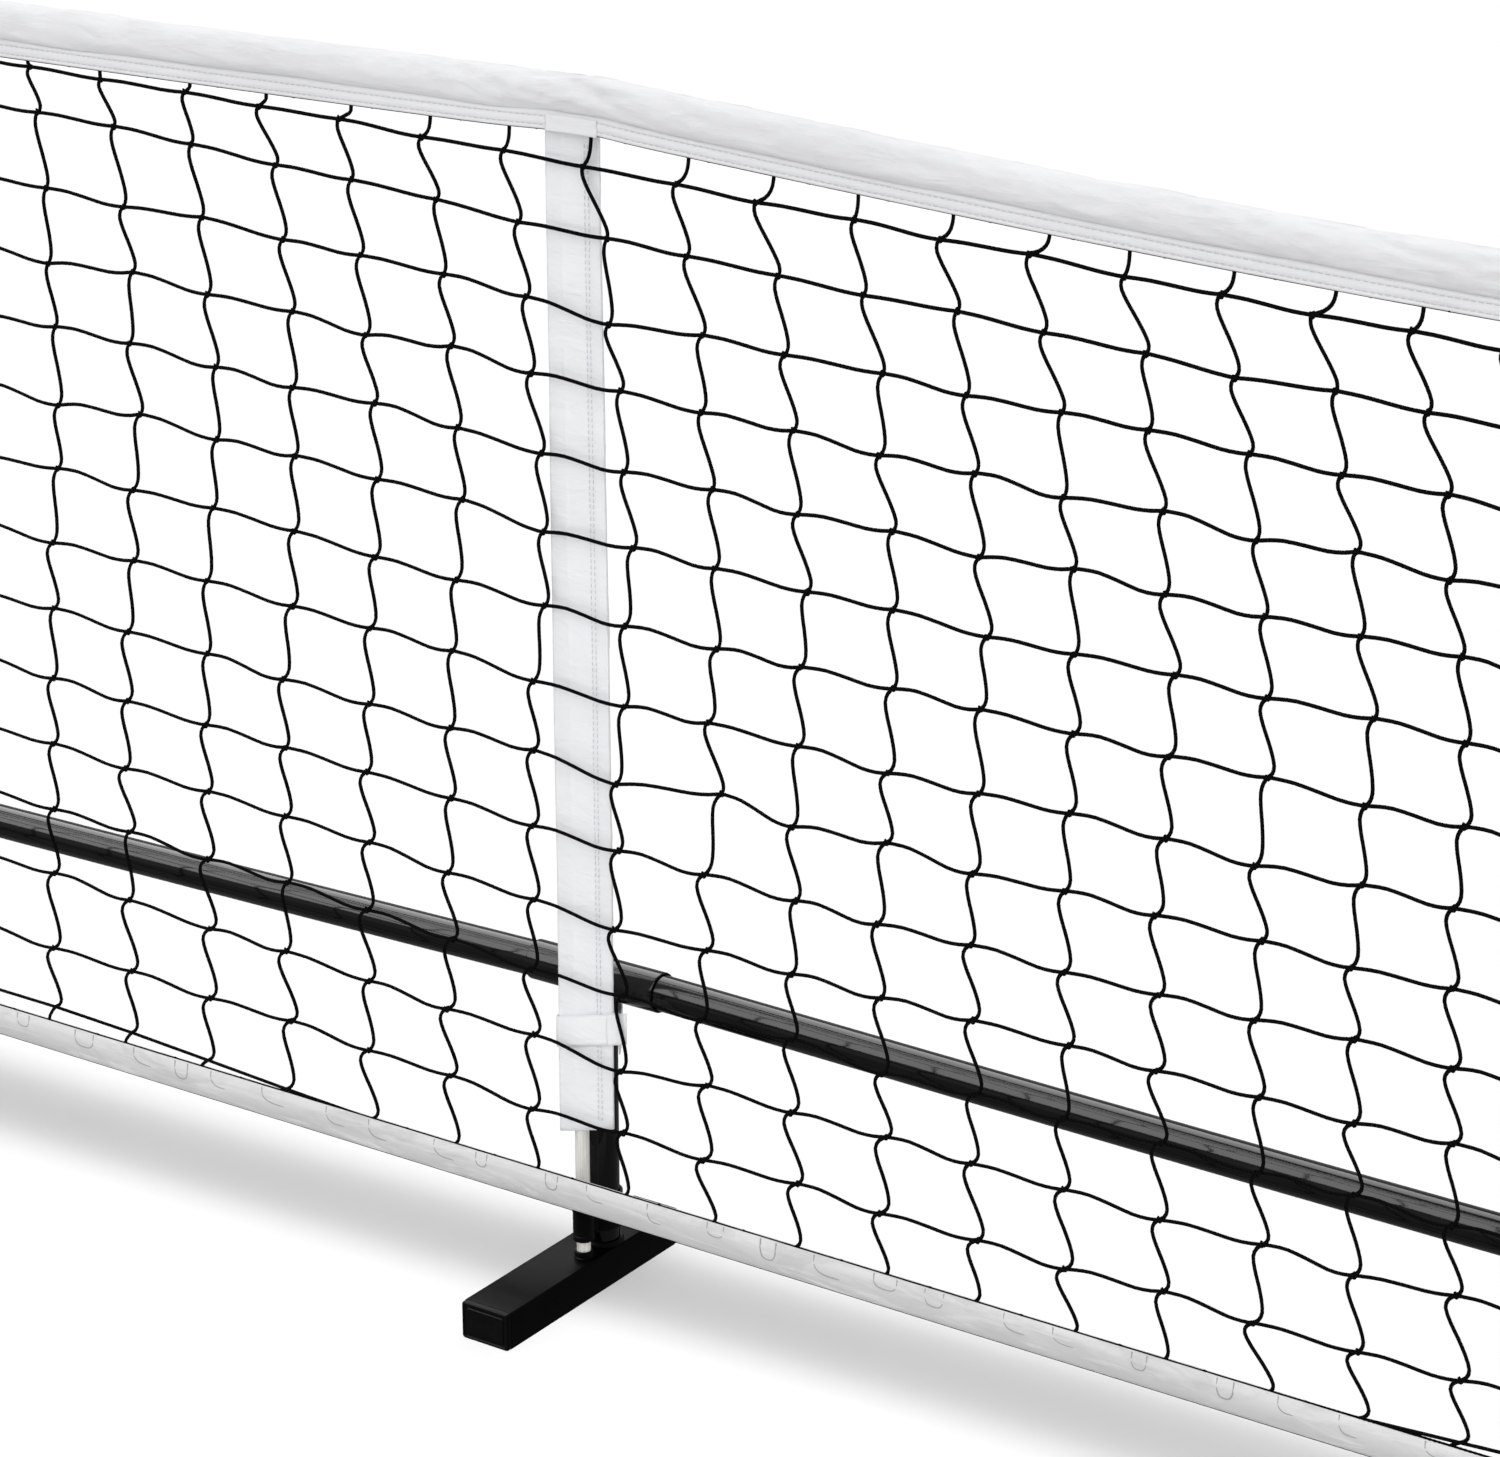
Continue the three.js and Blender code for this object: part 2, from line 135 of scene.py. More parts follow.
def smoothstep(a, b, x):
    t = min(1.0, max(0.0, (x - a) / (b - a)))
    return t * t * (3 - 2 * t)


def rough(x, y, z=0.0):
    """Smooth noise from -1 to 1."""
    return noise.noise(Vector((x, y, z)))


def put(name, data):
    """A new object in the scene."""
    obj = bpy.data.objects.new(name, data)
    bpy.context.scene.collection.objects.link(obj)
    return obj


def mesh_object(name, points, faces, *materials):
    """A mesh object from points in millimetres."""
    mesh = bpy.data.meshes.new(name)
    mesh.from_pydata((np.asarray(points, float) / 1000).tolist(), [], faces)
    for material in materials:
        mesh.materials.append(material)
    return put(name, mesh)


def make(name, points, faces, material, body="frame", sharp=38):
    """A smooth-shaded piece that rides on a body."""
    obj = mesh_object(name, points, faces, material)
    obj.data.update()
    obj.data.shade_smooth()
    obj.data.set_sharp_from_angle(angle=math.radians(sharp))
    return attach(obj, body)


def stand_for(piece, slot, *nodes):
    """Lets a piece take the place of CAD nodes, which it hides."""
    if nodes:
        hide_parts(*nodes)


def grid_faces(rows, columns, wrap_rows=False, wrap_columns=False, first=0):
    """Quads over a grid of points stored row by row."""
    faces = []
    for i in range(rows if wrap_rows else rows - 1):
        a = first + i * columns
        b = first + ((i + 1) % rows) * columns
        for j in range(columns if wrap_columns else columns - 1):
            k = (j + 1) % columns
            faces.append((a + j, a + k, b + k, b + j))
    return faces


class Build:
    """Collects several surfaces into one mesh."""

    def __init__(self):
        self.points = []
        self.faces = []

    def grid(self, rings, wrap_rows=False, wrap_columns=True, caps=False):
        rings = np.asarray(rings, float)
        rows, columns = rings.shape[:2]
        first = len(self.points)
        self.points.extend(rings.reshape(-1, 3).tolist())
        self.faces += grid_faces(rows, columns, wrap_rows, wrap_columns, first)
        if caps:
            self.faces.append(tuple(first + j for j in reversed(range(columns))))
            last = first + (rows - 1) * columns
            self.faces.append(tuple(last + j for j in range(columns)))
        return self

    def make(self, name, material, body="frame", sharp=38):
        return make(name, self.points, self.faces, material, body, sharp)


AXES = {
    "x": np.array([[0, 1, 0], [0, 0, 1], [1, 0, 0]], float),
    "y": np.array([[0, 0, 1], [1, 0, 0], [0, 1, 0]], float),
    "z": np.array([[1, 0, 0], [0, 1, 0], [0, 0, 1]], float),
}


def ring_points(radius, sides):
    angle = np.arange(sides) / sides * 2 * math.pi
    return radius * np.cos(angle), radius * np.sin(angle)


def turned(build, profile, axis, at, sides=64, wrap=False):
    """A surface of revolution from [radius, distance] pairs along an axis through a point."""
    rings = []
    for radius, distance in profile:
        u, v = ring_points(radius, sides)
        local = np.stack([u, v, np.full(sides, distance)], 1)
        rings.append(local @ AXES[axis] + np.asarray(at, float))
    return build.grid(rings, wrap_rows=wrap)


def turned_piece(name, profile, material, at, sides=64, body="frame", wrap=True, sharp=38):
    """A piece turned round an upright axis."""
    return turned(Build(), profile, "z", at, sides, wrap).make(name, material, body, sharp)


def mirrored(half, a, b):
    """A closed profile whose two ends are alike: half holds [radius, distance from the end]."""
    return [(r, a + d) for r, d in half] + [(r, b - d) for r, d in reversed(half)]


def pipe_profile(outer, inner, a, b, edge=0.4):
    """The closed profile of an open tube with softened rims."""
    half = [
        (inner, edge), (inner + edge, 0), (outer - edge, 0),
        (outer - edge * 0.3, edge * 0.3), (outer, edge), (outer, 3 * edge),
    ]
    return mirrored(half, a, b)


def rail_profile(outer, inner, a, b):
    """A tube's closed profile with enough rings along it to take a gentle bend."""
    ends = pipe_profile(outer, inner, a, b)
    along = np.linspace(a + 3, b - 3, 20)[1:-1]
    return ends[:6] + [(outer, x) for x in along] + ends[6:] + [(inner, x) for x in reversed(along)]


def settle(build):
    """Lowers or lifts a piece's points with the sagging ground rail."""
    build.points = [[x, y, z + rail_sag(x)] for x, y, z in build.points]
    return build


def unit(vectors):
    return vectors / np.linalg.norm(vectors, axis=1, keepdims=True)


def tube_rings(path, tangent, across, radius, sides):
    """Circles round a path; across is a direction, or one for each point, that isn't along it."""
    tangent = unit(tangent)
    side = unit(np.cross(tangent, across))
    front = np.cross(side, tangent)
    u, v = ring_points(1.0, sides)
    around = u[None, :, None] * side[:, None] + v[None, :, None] * front[:, None]
    return path[:, None] + np.reshape(radius, (-1, 1, 1)) * around


def tube_along(build, path, radius, sides=6):
    """A round cord along a path that lies mostly in the plane of the net."""
    path = np.asarray(path, float)
    build.grid(tube_rings(path, np.gradient(path, axis=0), [0.0, 1.0, 0.0], radius, sides), caps=True)


def tube_loop(build, path, across, radius, sides):
    """A round cord along a closed path."""
    tangent = np.roll(path, -1, 0) - np.roll(path, 1, 0)
    build.grid(tube_rings(path, tangent, across, radius, sides), wrap_rows=True)


def faces_in(obj, y):
    """True if the front faces of a folded sheet point towards the plane y."""
    total = sum(f.normal.y * (f.center.y * 1000 - y) * f.area for f in obj.data.polygons)
    return total < 0


def cloth(
        name, rings, material, thickness, slot="white_fabric", nodes=(), fold_y=None,
        closed=(False, False), **sheet):
    """A sheet from a grid, thickened to both sides, or inwards where it folds round fold_y."""
    piece = Build().grid(rings, *closed).make(name, material, sharp=180)
    modifier = piece.modifiers.new("cloth_thickness", "SOLIDIFY")
    modifier.thickness = thickness / 1000
    modifier.use_even_offset = False
    modifier.offset = 0.0
    if fold_y is not None:
        modifier.offset = 1.0 if faces_in(piece, fold_y) else -1.0
    stand_for(piece, slot, *nodes)
    return piece


# ---------------------------------------------------------------- materials
class Nodes:
    """A short way to write a material's node tree."""

    def __init__(self, name):
        self.material = bpy.data.materials.new(name)
        self.material.use_nodes = True
        self.tree = self.material.node_tree
        self.shader = self.tree.nodes["Principled BSDF"]
        self.place = self.tree.nodes.new("ShaderNodeTexCoord").outputs["Object"]

    def set(self, **values):
        for key, value in values.items():
            self.shader.inputs[key.replace("_", " ")].default_value = value
        return self

    def feed(self, socket, value):
        """Links an output to a socket, or sets the socket's value."""
        if isinstance(value, bpy.types.NodeSocket):
            self.tree.links.new(value, socket)
        else:
            socket.default_value = value

    def node(self, kind, **inputs):
        made = self.tree.nodes.new(kind)
        for key, value in inputs.items():
            self.feed(made.inputs[key.replace("_", " ")], value)
        return made

    def stretch(self, scale):
        """The object's own coordinates, scaled."""
        return self.node("ShaderNodeMapping", Vector=self.place, Scale=scale).outputs["Vector"]

    def noise(self, scale, detail=3.0, roughness=0.5, place=None, distortion=0.0):
        made = self.node(
            "ShaderNodeTexNoise", Vector=place or self.place, Scale=scale,
            Detail=detail, Roughness=roughness, Distortion=distortion)
        return made.outputs["Fac"]

    def wave(self, scale, direction, distortion):
        made = self.node("ShaderNodeTexWave", Vector=self.place, Scale=scale, Distortion=distortion)
        made.bands_direction = direction
        return made.outputs["Fac"]

    def ramp(self, value, low, high, at=(0.35, 0.65)):
        """A colour between low and high as a value goes from at[0] to at[1]."""
        made = self.node("ShaderNodeValToRGB", Fac=value)
        for element, where, colour in zip(made.color_ramp.elements, at, (low, high)):
            element.position = where
            element.color = (*colour, 1)
        return made.outputs["Color"]

    def mix(self, share, a, b):
        made = self.tree.nodes.new("ShaderNodeMix")
        made.data_type = "RGBA"
        for index, value in ((0, share), (6, a), (7, b)):
            self.feed(made.inputs[index], value)
        return made.outputs[2]

    def math(self, operation, a, b):
        made = self.tree.nodes.new("ShaderNodeMath")
        made.operation = operation
        self.feed(made.inputs[0], a)
        self.feed(made.inputs[1], b)
        return made.outputs[0]

    def span(self, value, low, high):
        """A value from 0 to 1 moved to between low and high."""
        return self.node("ShaderNodeMapRange", Value=value, To_Min=low, To_Max=high).outputs["Result"]

    def link(self, socket, name):
        self.tree.links.new(socket, self.shader.inputs[name])
        return self

    def bumps(self, *layers):
        """Bump layers as (height, depth in millimetres, strength)."""
        normal = None
        for height, depth, strength in layers:
            made = self.node("ShaderNodeBump", Height=height, Distance=depth / 1000, Strength=strength)
            if normal is not None:
                self.tree.links.new(normal, made.inputs["Normal"])
            normal = made.outputs["Normal"]
        return self.link(normal, "Normal")


def grey(value, warmth=0.0):
    return (value * (1 + warmth), value, value * (1 - warmth))


def powder_coat(name, shade, roughness, gloss):
    """Black powder-coated steel with a fine orange peel, dust and faint rub marks."""
    m = Nodes(name).set(Specular_IOR_Level=gloss, Coat_Weight=0.0)
    dust = m.noise(38, 6, 0.65)
    m.link(m.ramp(dust, grey(shade), grey(shade * 1.9), (0.45, 0.8)), "Base Color")
    rubs = m.noise(55, 5, 0.6, m.stretch((0.15, 1, 1)))
    m.link(m.span(rubs, roughness * 0.8, roughness * 1.35), "Roughness")
    return m.bumps((m.noise(900, 2), 0.05, 0.35), (m.noise(160, 3), 0.04, 0.3)).material


def moulded_plastic(name):
    """Black moulded plastic with a fine spark-eroded grain and paler scuffs."""
    m = Nodes(name).set(Specular_IOR_Level=0.14)
    scuffs = m.noise(120, 6, 0.7)
    m.link(m.ramp(scuffs, grey(0.0016), grey(0.006), (0.5, 0.8)), "Base Color")
    m.link(m.span(m.noise(60, 4), 0.38, 0.6), "Roughness")
    return m.bumps((m.noise(1800, 2), 0.05, 0.5), (m.noise(300, 3), 0.05, 0.25)).material


def brushed_steel(name):
    """The bare zinc-plated steel of the snap buttons."""
    m = Nodes(name).set(Metallic=0.95)
    m.link(m.ramp(m.noise(400, 4), grey(0.42), grey(0.62, 0.01)), "Base Color")
    m.link(m.span(m.noise(900, 3, place=m.stretch((1, 1, 6))), 0.22, 0.42), "Roughness")
    return m.bumps((m.noise(1500, 2, place=m.stretch((1, 1, 8))), 0.02, 0.4)).material


def glass_fibre(name):
    """Off-white pultruded fibreglass rod, with glass strands running along it."""
    m = Nodes(name).set(Specular_IOR_Level=0.5)
    strands = m.noise(900, 4, 0.6, m.stretch((1, 1, 0.03)))
    blotch = m.noise(25, 3)
    base = m.ramp(strands, (0.60, 0.59, 0.53), (0.86, 0.86, 0.82), (0.3, 0.6))
    m.link(m.mix(m.span(blotch, 0.0, 0.35), base, (0.78, 0.76, 0.68, 1)), "Base Color")
    m.link(m.span(blotch, 0.3, 0.5), "Roughness")
    return m.bumps((strands, 0.06, 0.5)).material


def weave(m, pitch):
    """Height of a plain weave whose threads run along the net and up it."""
    turns = 1000.0 / pitch / (2 * math.pi)
    along = m.wave(turns, "X", 0.4)
    up = m.wave(turns, "Z", 0.4)
    across = m.wave(turns, "Y", 0.4)
    return m.math("MULTIPLY", m.math("MAXIMUM", along, across), up)


def white_cloth(name, shade, stain, crease=1.3, tint=-0.012):
    """White coated polyester: a fine plain weave, soft creases and faint grey soiling."""
    m = Nodes(name).set(Sheen_Weight=0.12, Sheen_Roughness=0.5, Specular_IOR_Level=0.25)
    soil = m.noise(9, 6, 0.62, m.stretch((0.7, 1, 1.6)))
    patches = m.noise(42, 4, 0.6, m.stretch((0.5, 1, 1)), 0.4)
    base = m.ramp(soil, grey(shade, tint), grey(shade - stain * 0.5, tint), (0.42, 0.72))
    base = m.mix(m.span(patches, 0.0, 0.5), base, (*grey(shade - stain, tint), 1))
    m.link(base, "Base Color")
    m.link(m.span(patches, 0.6, 0.8), "Roughness")
    creases = m.noise(60, 4, 0.55, m.stretch((0.35, 1, 1.0)), 0.5)
    m.bumps((creases, crease, 0.4), (m.noise(260, 3), 0.3, 0.35), (weave(m, 0.9), 0.12, 0.3))
    return m.material


def marbled_tape(name):
    """The lower band's tape: pale and cloudy, with painted shade that leaves it nearly white along its top
    fold and greyer below.
    """
    m = Nodes(name).set(Specular_IOR_Level=0.2)
    clouds = m.noise(24, 7, 0.68, m.stretch((0.4, 1, 1.3)), 1.4)
    veins = m.noise(60, 6, 0.65, m.stretch((0.16, 1, 1.5)), 1.6)
    smears = m.noise(95, 5, 0.6, m.stretch((0.3, 1, 1.0)), 0.8)
    # Painted shade: the colour darkens with height, from the tape's top edge down to its bottom edge.
    split = m.node("ShaderNodeSeparateXYZ", Vector=m.place).outputs["Z"]
    low, high = TAPE_LOW / 1000, TAPE_HIGH / 1000
    height = m.node("ShaderNodeMapRange", Value=split, From_Min=low, From_Max=high)
    fall = m.ramp(height.outputs["Result"], grey(0.53), grey(0.84), (0.02, 0.9))
    dark = m.ramp(clouds, (0, 0, 0), (1, 1, 1), (0.46, 0.62))
    pale = m.ramp(veins, (0, 0, 0), (1, 1, 1), (0.52, 0.64))
    base = m.mix(m.math("MULTIPLY", dark, 0.45), fall, (0.50, 0.50, 0.51, 1))
    base = m.mix(m.math("MULTIPLY", pale, 0.5), base, (0.90, 0.90, 0.90, 1))
    base = m.mix(m.span(smears, 0.0, 0.3), base, (0.62, 0.62, 0.625, 1))
    m.link(base, "Base Color")
    m.link(m.span(veins, 0.45, 0.65), "Roughness")
    grain = m.noise(280, 3)
    m.bumps((clouds, 1.2, 0.35), (smears, 0.5, 0.35), (grain, 0.2, 0.4), (weave(m, 0.8), 0.1, 0.3))
    return m.material


def twine(name):
    """Black twisted twine: slanting strands that catch a little light."""
    m = Nodes(name).set(Specular_IOR_Level=0.05, Roughness=0.7)
    strands = m.wave(190, "DIAGONAL", 1.2)
    fuzz = m.noise(700, 3)
    m.link(m.ramp(strands, grey(0.0006), grey(0.003), (0.2, 0.9)), "Base Color")
    return m.bumps((strands, 0.25, 0.7), (fuzz, 0.1, 0.5)).material


NET_HALF = node_box("netting")[1][0]
TAPE_LOW, TAPE_HIGH = node_box("band_bottom")[0][2], node_box("band_bottom")[1][2]

RAIL_STEEL = powder_coat("rail_steel", 0.004, 0.11, 0.36)
FOOT_STEEL = powder_coat("foot_steel", 0.0015, 0.42, 0.06)
PLASTIC = moulded_plastic("plastic")
BUTTON = brushed_steel("button")
FIBREGLASS = glass_fibre("fibreglass")
# The band's roll and hem are one cloth in two shades: the hem's copy is a little paler, painted light against
# the shade the roll casts on it.
CLOTH = white_cloth("band_cloth", 0.885, 0.15, 7.0, -0.006)
HEM_CLOTH_PAINTED_LIGHT = white_cloth("hem_cloth_painted_light", 0.90, 0.12, 3.0, -0.006)
STRAP_CLOTH = white_cloth("strap_cloth", 0.975, 0.08, 6.0, -0.016)
THREAD = white_cloth("thread", 0.72, 0.10, 0.5)
TAPE = marbled_tape("tape_cloth")
GHOST = white_cloth("tape_over_cord", 0.44, 0.12)
TWINE = twine("twine")


# ---------------------------------------------------------------- shape of the net
def band_top(x):
    """Height of the top edge: propped in the middle, nearly level to the left, slack to the right."""
    d = abs(x - KINK_X)
    rise = (POST_HEIGHT - CENTRE_HEIGHT) * (d / POST_X) ** 2
    slope = SAG_RIGHT if x > KINK_X else SAG_LEFT
    return CENTRE_HEIGHT + rise - slope * d * math.exp(-((d / SAG_REACH) ** 2))


def pinch(x):
    """How strongly the strap gathers the band, 1 at the strap."""
    return math.exp(-(((x - STRAP_X) / 40) ** 2))


def rail_sag(x):
    """How far the ground rail stands off its straight line, held up by the tee and slack in its joints."""
    d = abs(x)
    fall = RAIL_FALL_RIGHT if x > 0 else RAIL_FALL_LEFT
    sag = TEE_RISE - fall * math.sin(math.pi / 2 * min(1.0, d / 1000))
    return sag * (1 - smoothstep(1100, POST_X - 80, d))


def band_height(x):
    return BAND_HEIGHT - BAND_PINCH * pinch(x)


def hem_low(x):
    return band_top(x) - band_height(x)


def knot_x(i, j):
    """Where column i crosses row j, along the net: uneven over the middle, even further out."""
    t = j / ROWS
    middle_x = 46 + 13 * math.exp(-(((j - 5) / 2.2) ** 2)) - 16 * math.exp(-j * j)

    def near(k):
        return middle_x + (COLUMN_PITCH + COLUMN_SPREAD * t) * k - COLUMN_BEND * k * k

    sign = 1 if i > 0 else -1
    edge = 12 * sign
    far = near(edge) + (NET_HALF * sign - near(edge)) * (i - edge) / (COLUMNS * sign - edge)
    share = smoothstep(8, 16, abs(i))
    return near(i) * (1 - share) + far * share


def knot_z(x, j):
    """Height of row j at x: it climbs to the left and, near the top, falls to the right."""
    t = j / ROWS
    if j == 0:
        level = FIRST_ROW_Z + 45
    elif j == ROWS:
        level = TAPE_HIGH + 1
    else:
        level = FIRST_ROW_Z - ROW_PITCH * (j - 1) + 5.5 * math.sin(math.pi * min(j - 1, 7) / 7)
    d = x - 45
    if j == ROWS:
        near = level - 3.5 + 15 * smoothstep(150, 560, -d) + 14 * smoothstep(490, 800, d)
    elif d < 0:
        near = level + 33 * math.tanh(-d / 500) * smoothstep(ROWS, ROWS - 1.5, j) * (0.55 if j == 0 else 1)
    else:
        near = level + (0.06 * t - 0.045) * d * smoothstep(ROWS, ROWS - 1.5, j)
    share_up = (level - TAPE_HIGH) / (CENTRE_HEIGHT - BAND_HEIGHT - TAPE_HIGH)
    far = TAPE_HIGH + share_up * (hem_low(x) - TAPE_HIGH)
    share = smoothstep(650, 1500, abs(d))
    return near * (1 - share) + far * share


def lay_out_knots():
    """Every knot's place in the plane of the net, with the small unevenness of hand-tied netting."""
    knots = {}
    for i in range(-COLUMNS, COLUMNS + 1):
        for j in range(ROWS + 1):
            parity = -1 if (i + j) % 2 else 1
            calm = 0.35 if j == 0 else 1.0
            x = knot_x(i, j) - 1.3 * parity + draw.gauss(0, 1.6)
            x = max(-NET_HALF, min(NET_HALF, x))
            z = knot_z(x, j)
            if j < ROWS:
                z += calm * (draw.gauss(0, 1.5) - parity)
            knots[i, j] = np.array([x, NET_Y, z])
    # One knot just right of the strap has slipped.
    knots[1, 8] += np.array([13.0, 0.0, 7.0])
    return knots


KNOTS = lay_out_knots()


def catmull(points, per_span):
    """A smooth line through points."""
    points = np.asarray(points, float)
    padded = np.vstack([2 * points[0] - points[1], points, 2 * points[-1] - points[-2]])
    line = []
    for k in range(len(points) - 1):
        a, b, c, d = padded[k:k + 4]
        for s in np.arange(per_span) / per_span:
            line.append(0.5 * (
                2 * b + (c - a) * s + (2 * a - 5 * b + 4 * c - d) * s * s + (3 * b - a - 3 * c + d) * s ** 3))
    line.append(points[-1])
    return np.array(line)


# Sideways offsets along one vertical mesh cord, as (share of the way down, millimetres).
SWING = [
    (0.0, 0.0), (0.07, -2.4), (0.18, -3.5), (0.34, -2.1), (0.5, 0.1), (0.68, 2.3), (0.84, 3.4), (0.94, 2.3),
]
# Height offsets along one horizontal mesh cord.
DIP = [(0.0, 0.0), (0.12, 0.9), (0.28, 1.4), (0.5, 0.2), (0.72, -1.3), (0.88, -1.1)]


def vertical_cord(i):
    """The points of one cord from inside the top hem to inside the bottom band."""
    top = KNOTS[i, 0]
    lean = draw.uniform(-1, 15)
    if i < -5:
        lean = -0.8 * lean
    hem = hem_low(top[0])
    rise = hem - top[2]
    above = [
        (top[0] + lean * 1.05, hem + 5),
        (top[0] + lean, hem - 0.2 * rise),
        (top[0] + lean * 0.85, hem - 0.55 * rise),
        (top[0] + lean * 0.5, hem - 0.82 * rise),
    ]
    points = [(x, NET_Y, z) for x, z in above if z > top[2] + 2]
    for j in range(ROWS):
        a, b = KNOTS[i, j], KNOTS[i, j + 1]
        swing = draw.uniform(0.8, 1.35) * (0.95 + 0.65 * smoothstep(3, ROWS, j))
        for share, offset in SWING:
            p = a + (b - a) * share
            p[0] += offset * swing
            p[1] += 0.35 * math.sin(math.pi * share) * (1 if (i + j) % 2 else -1)
            points.append(tuple(p))
    foot = KNOTS[i, ROWS]
    points.append((foot[0], NET_Y, foot[2]))
    points.append((foot[0] - 6, NET_Y, (foot[2] + TAPE_HIGH) / 2 - 2))
    points.append((foot[0] - 9, NET_Y, TAPE_HIGH - 6))
    return points


def horizontal_cord(j):
    """The points of one cord along the net, through every knot of a row."""
    points = []
    for i in range(-COLUMNS, COLUMNS):
        a, b = KNOTS[i, j], KNOTS[i + 1, j]
        dip = draw.uniform(0.6, 1.4) * (0.3 + 0.8 * smoothstep(0, 4, j)) * smoothstep(ROWS, ROWS - 1, j)
        for share, offset in DIP:
            p = a + (b - a) * share
            p[2] += offset * dip
            points.append(tuple(p))
    points.append(tuple(KNOTS[COLUMNS, j]))
    start, end = np.array(points[0]), np.array(points[-1])
    reach = np.array([9.0, 0, 0])
    return [tuple(start - reach)] + points + [tuple(end + reach)]


def knot_shape():
    """A small knot: a cord that passes twice round itself."""
    t = np.linspace(0, 2 * math.pi, 19)[:-1]
    x = np.sin(t) + 2 * np.sin(2 * t)
    z = np.cos(t) - 2 * np.cos(2 * t)
    y = -1.1 * np.sin(3 * t)
    return np.stack([x, y, z], 1) / 3


def build_knot(build, base, at):
    """Adds one knot, turned and sized a little differently each time."""
    turn = draw.uniform(0, 2 * math.pi)
    size = KNOT_R * draw.uniform(0.85, 1.1)
    c, s = math.cos(turn), math.sin(turn)
    spin = np.array([[c, 0, s], [0, 1, 0], [-s, 0, c]])
    path = base @ spin * size * np.array([0.95, 0.8, 1.15]) + at
    tube_loop(build, path, path - at, CORD_R * 0.6, 5)


def build_netting():
    """The cords up and along, and the knots in two pieces."""
    verticals, horizontals = Build(), Build()
    for i in range(-COLUMNS, COLUMNS + 1):
        tube_along(verticals, catmull(vertical_cord(i), 2), CORD_R)
    for j in range(ROWS + 1):
        tube_along(horizontals, catmull(horizontal_cord(j), 2), CORD_R)
    stand_for(verticals.make("net_cords_up", TWINE, sharp=180), "cord", "netting")
    stand_for(horizontals.make("net_cords_along", TWINE, sharp=180), "cord")
    base = knot_shape()
    for name, columns in (("left", range(-COLUMNS, 0)), ("right", range(0, COLUMNS + 1))):
        build = Build()
        for i in columns:
            for j in range(ROWS):
                build_knot(build, base, KNOTS[i, j])
        stand_for(build.make("net_knots_" + name, TWINE, sharp=180), "cord")


# ---------------------------------------------------------------- bands
def net_stations(fine, coarse):
    """Places along the net, closer together over the middle stretch."""
    left_count = int((NET_HALF + NEAR_LEFT) / coarse)
    right_count = int((NET_HALF - NEAR_RIGHT) / coarse) + 1
    left = list(np.linspace(-NET_HALF, NEAR_LEFT, left_count, endpoint=False))
    right = list(np.linspace(NEAR_RIGHT, NET_HALF, right_count))
    return left + list(np.arange(NEAR_LEFT, NEAR_RIGHT, fine)) + right


def top_band_section(x):
    """Front hem, round the soft roll and down the back hem: [y, height below the top edge]."""
    height = band_height(x)
    flat = -height
    hem = HEM_HEIGHT + 1.5 * rough(x / 85, 12.3) * (1 - pinch(x))
    puff = 0.25 * rough(x / 11, 6.0)
    lower = [
        (-1.7, flat), (-2.1, flat + 1.0), (-2.1 - puff, flat + 1.9), (-1.35, flat + 2.8),
        (-2.1 - puff, flat + 3.7), (-2.35, flat + 5.6), (-2.2 + puff, flat + 7.6), (-1.35, flat + 8.5),
        (-2.1 + puff, flat + 9.4),
        (-2.2, flat + hem - 1.7), (-1.7, flat + hem - 0.8), (-0.3, flat + hem),
    ]
    half = (height - hem - 0.4) / 2
    section = list(lower)
    steps = 26
    for k in range(steps + 1):
        theta = math.radians(9 + k / steps * 342)
        belly = ROLL_HALF_DEPTH * (1 - 0.04 * math.cos(theta)) + 0.9 * rough(x / 160, 3.1)
        y = -belly * math.copysign(abs(math.sin(theta)) ** 0.78, math.sin(theta))
        z = -half - half * math.cos(theta)
        section.append(wrinkled(x, theta, y, z))
    section += [(-y, z) for y, z in reversed(lower)]
    return section


def wrinkled(x, theta, y, z):
    """Moves a point of the roll in or out as soft cloth creases."""
    slack = 1.05 + 0.55 * smoothstep(150, 700, x) + 1.7 * pinch(x)
    slack += 0.25 * smoothstep(700, 1200, abs(x))
    away = math.sin(theta / 2) ** 0.5
    broad = rough(x / 68 + 0.8 * theta, theta * 0.9, 1.7)
    crease = max(0.0, 1 - 3.4 * abs(rough(x / 52 + 1.5 * theta, theta * 1.7, 5.2))) ** 1.4
    short = max(0.0, 1 - 3.0 * abs(rough(x / 21 - 1.1 * theta, theta * 2.1, 7.9))) ** 1.3
    fine = rough(x / 12 + theta, theta * 2.8, 9.4)
    push = slack * away * (1.2 * broad - 1.5 * crease - 0.55 * short + 0.5 + 0.4 * fine)
    return y - push * math.sin(theta), z - 0.6 * push * math.cos(theta)


def build_top_band():
    rings = []
    for x in net_stations(3.6, 14):
        top = band_top(x)
        sway = 0.5 * rough(x / 60, 8.8)
        rings.append([(x, NET_Y + y + sway, top + z) for y, z in top_band_section(x)])
    band = cloth(
        "top_band", rings, CLOTH, 0.7, nodes=["band_top"], fold_y=NET_Y,
        flat=(0.108, 2 * NET_HALF / 1000), held="stretched", rests_on=["rod_tip", "net_cords_up"])
    # The hem faces take the paler copy of the cloth: painted light against the roll's shade.
    band.data.materials.append(HEM_CLOTH_PAINTED_LIGHT)
    columns = len(rings[0]) - 1
    for face in band.data.polygons:
        column = face.index % columns
        if column < HEM_FACES or column >= columns - HEM_FACES:
            face.material_index = 1


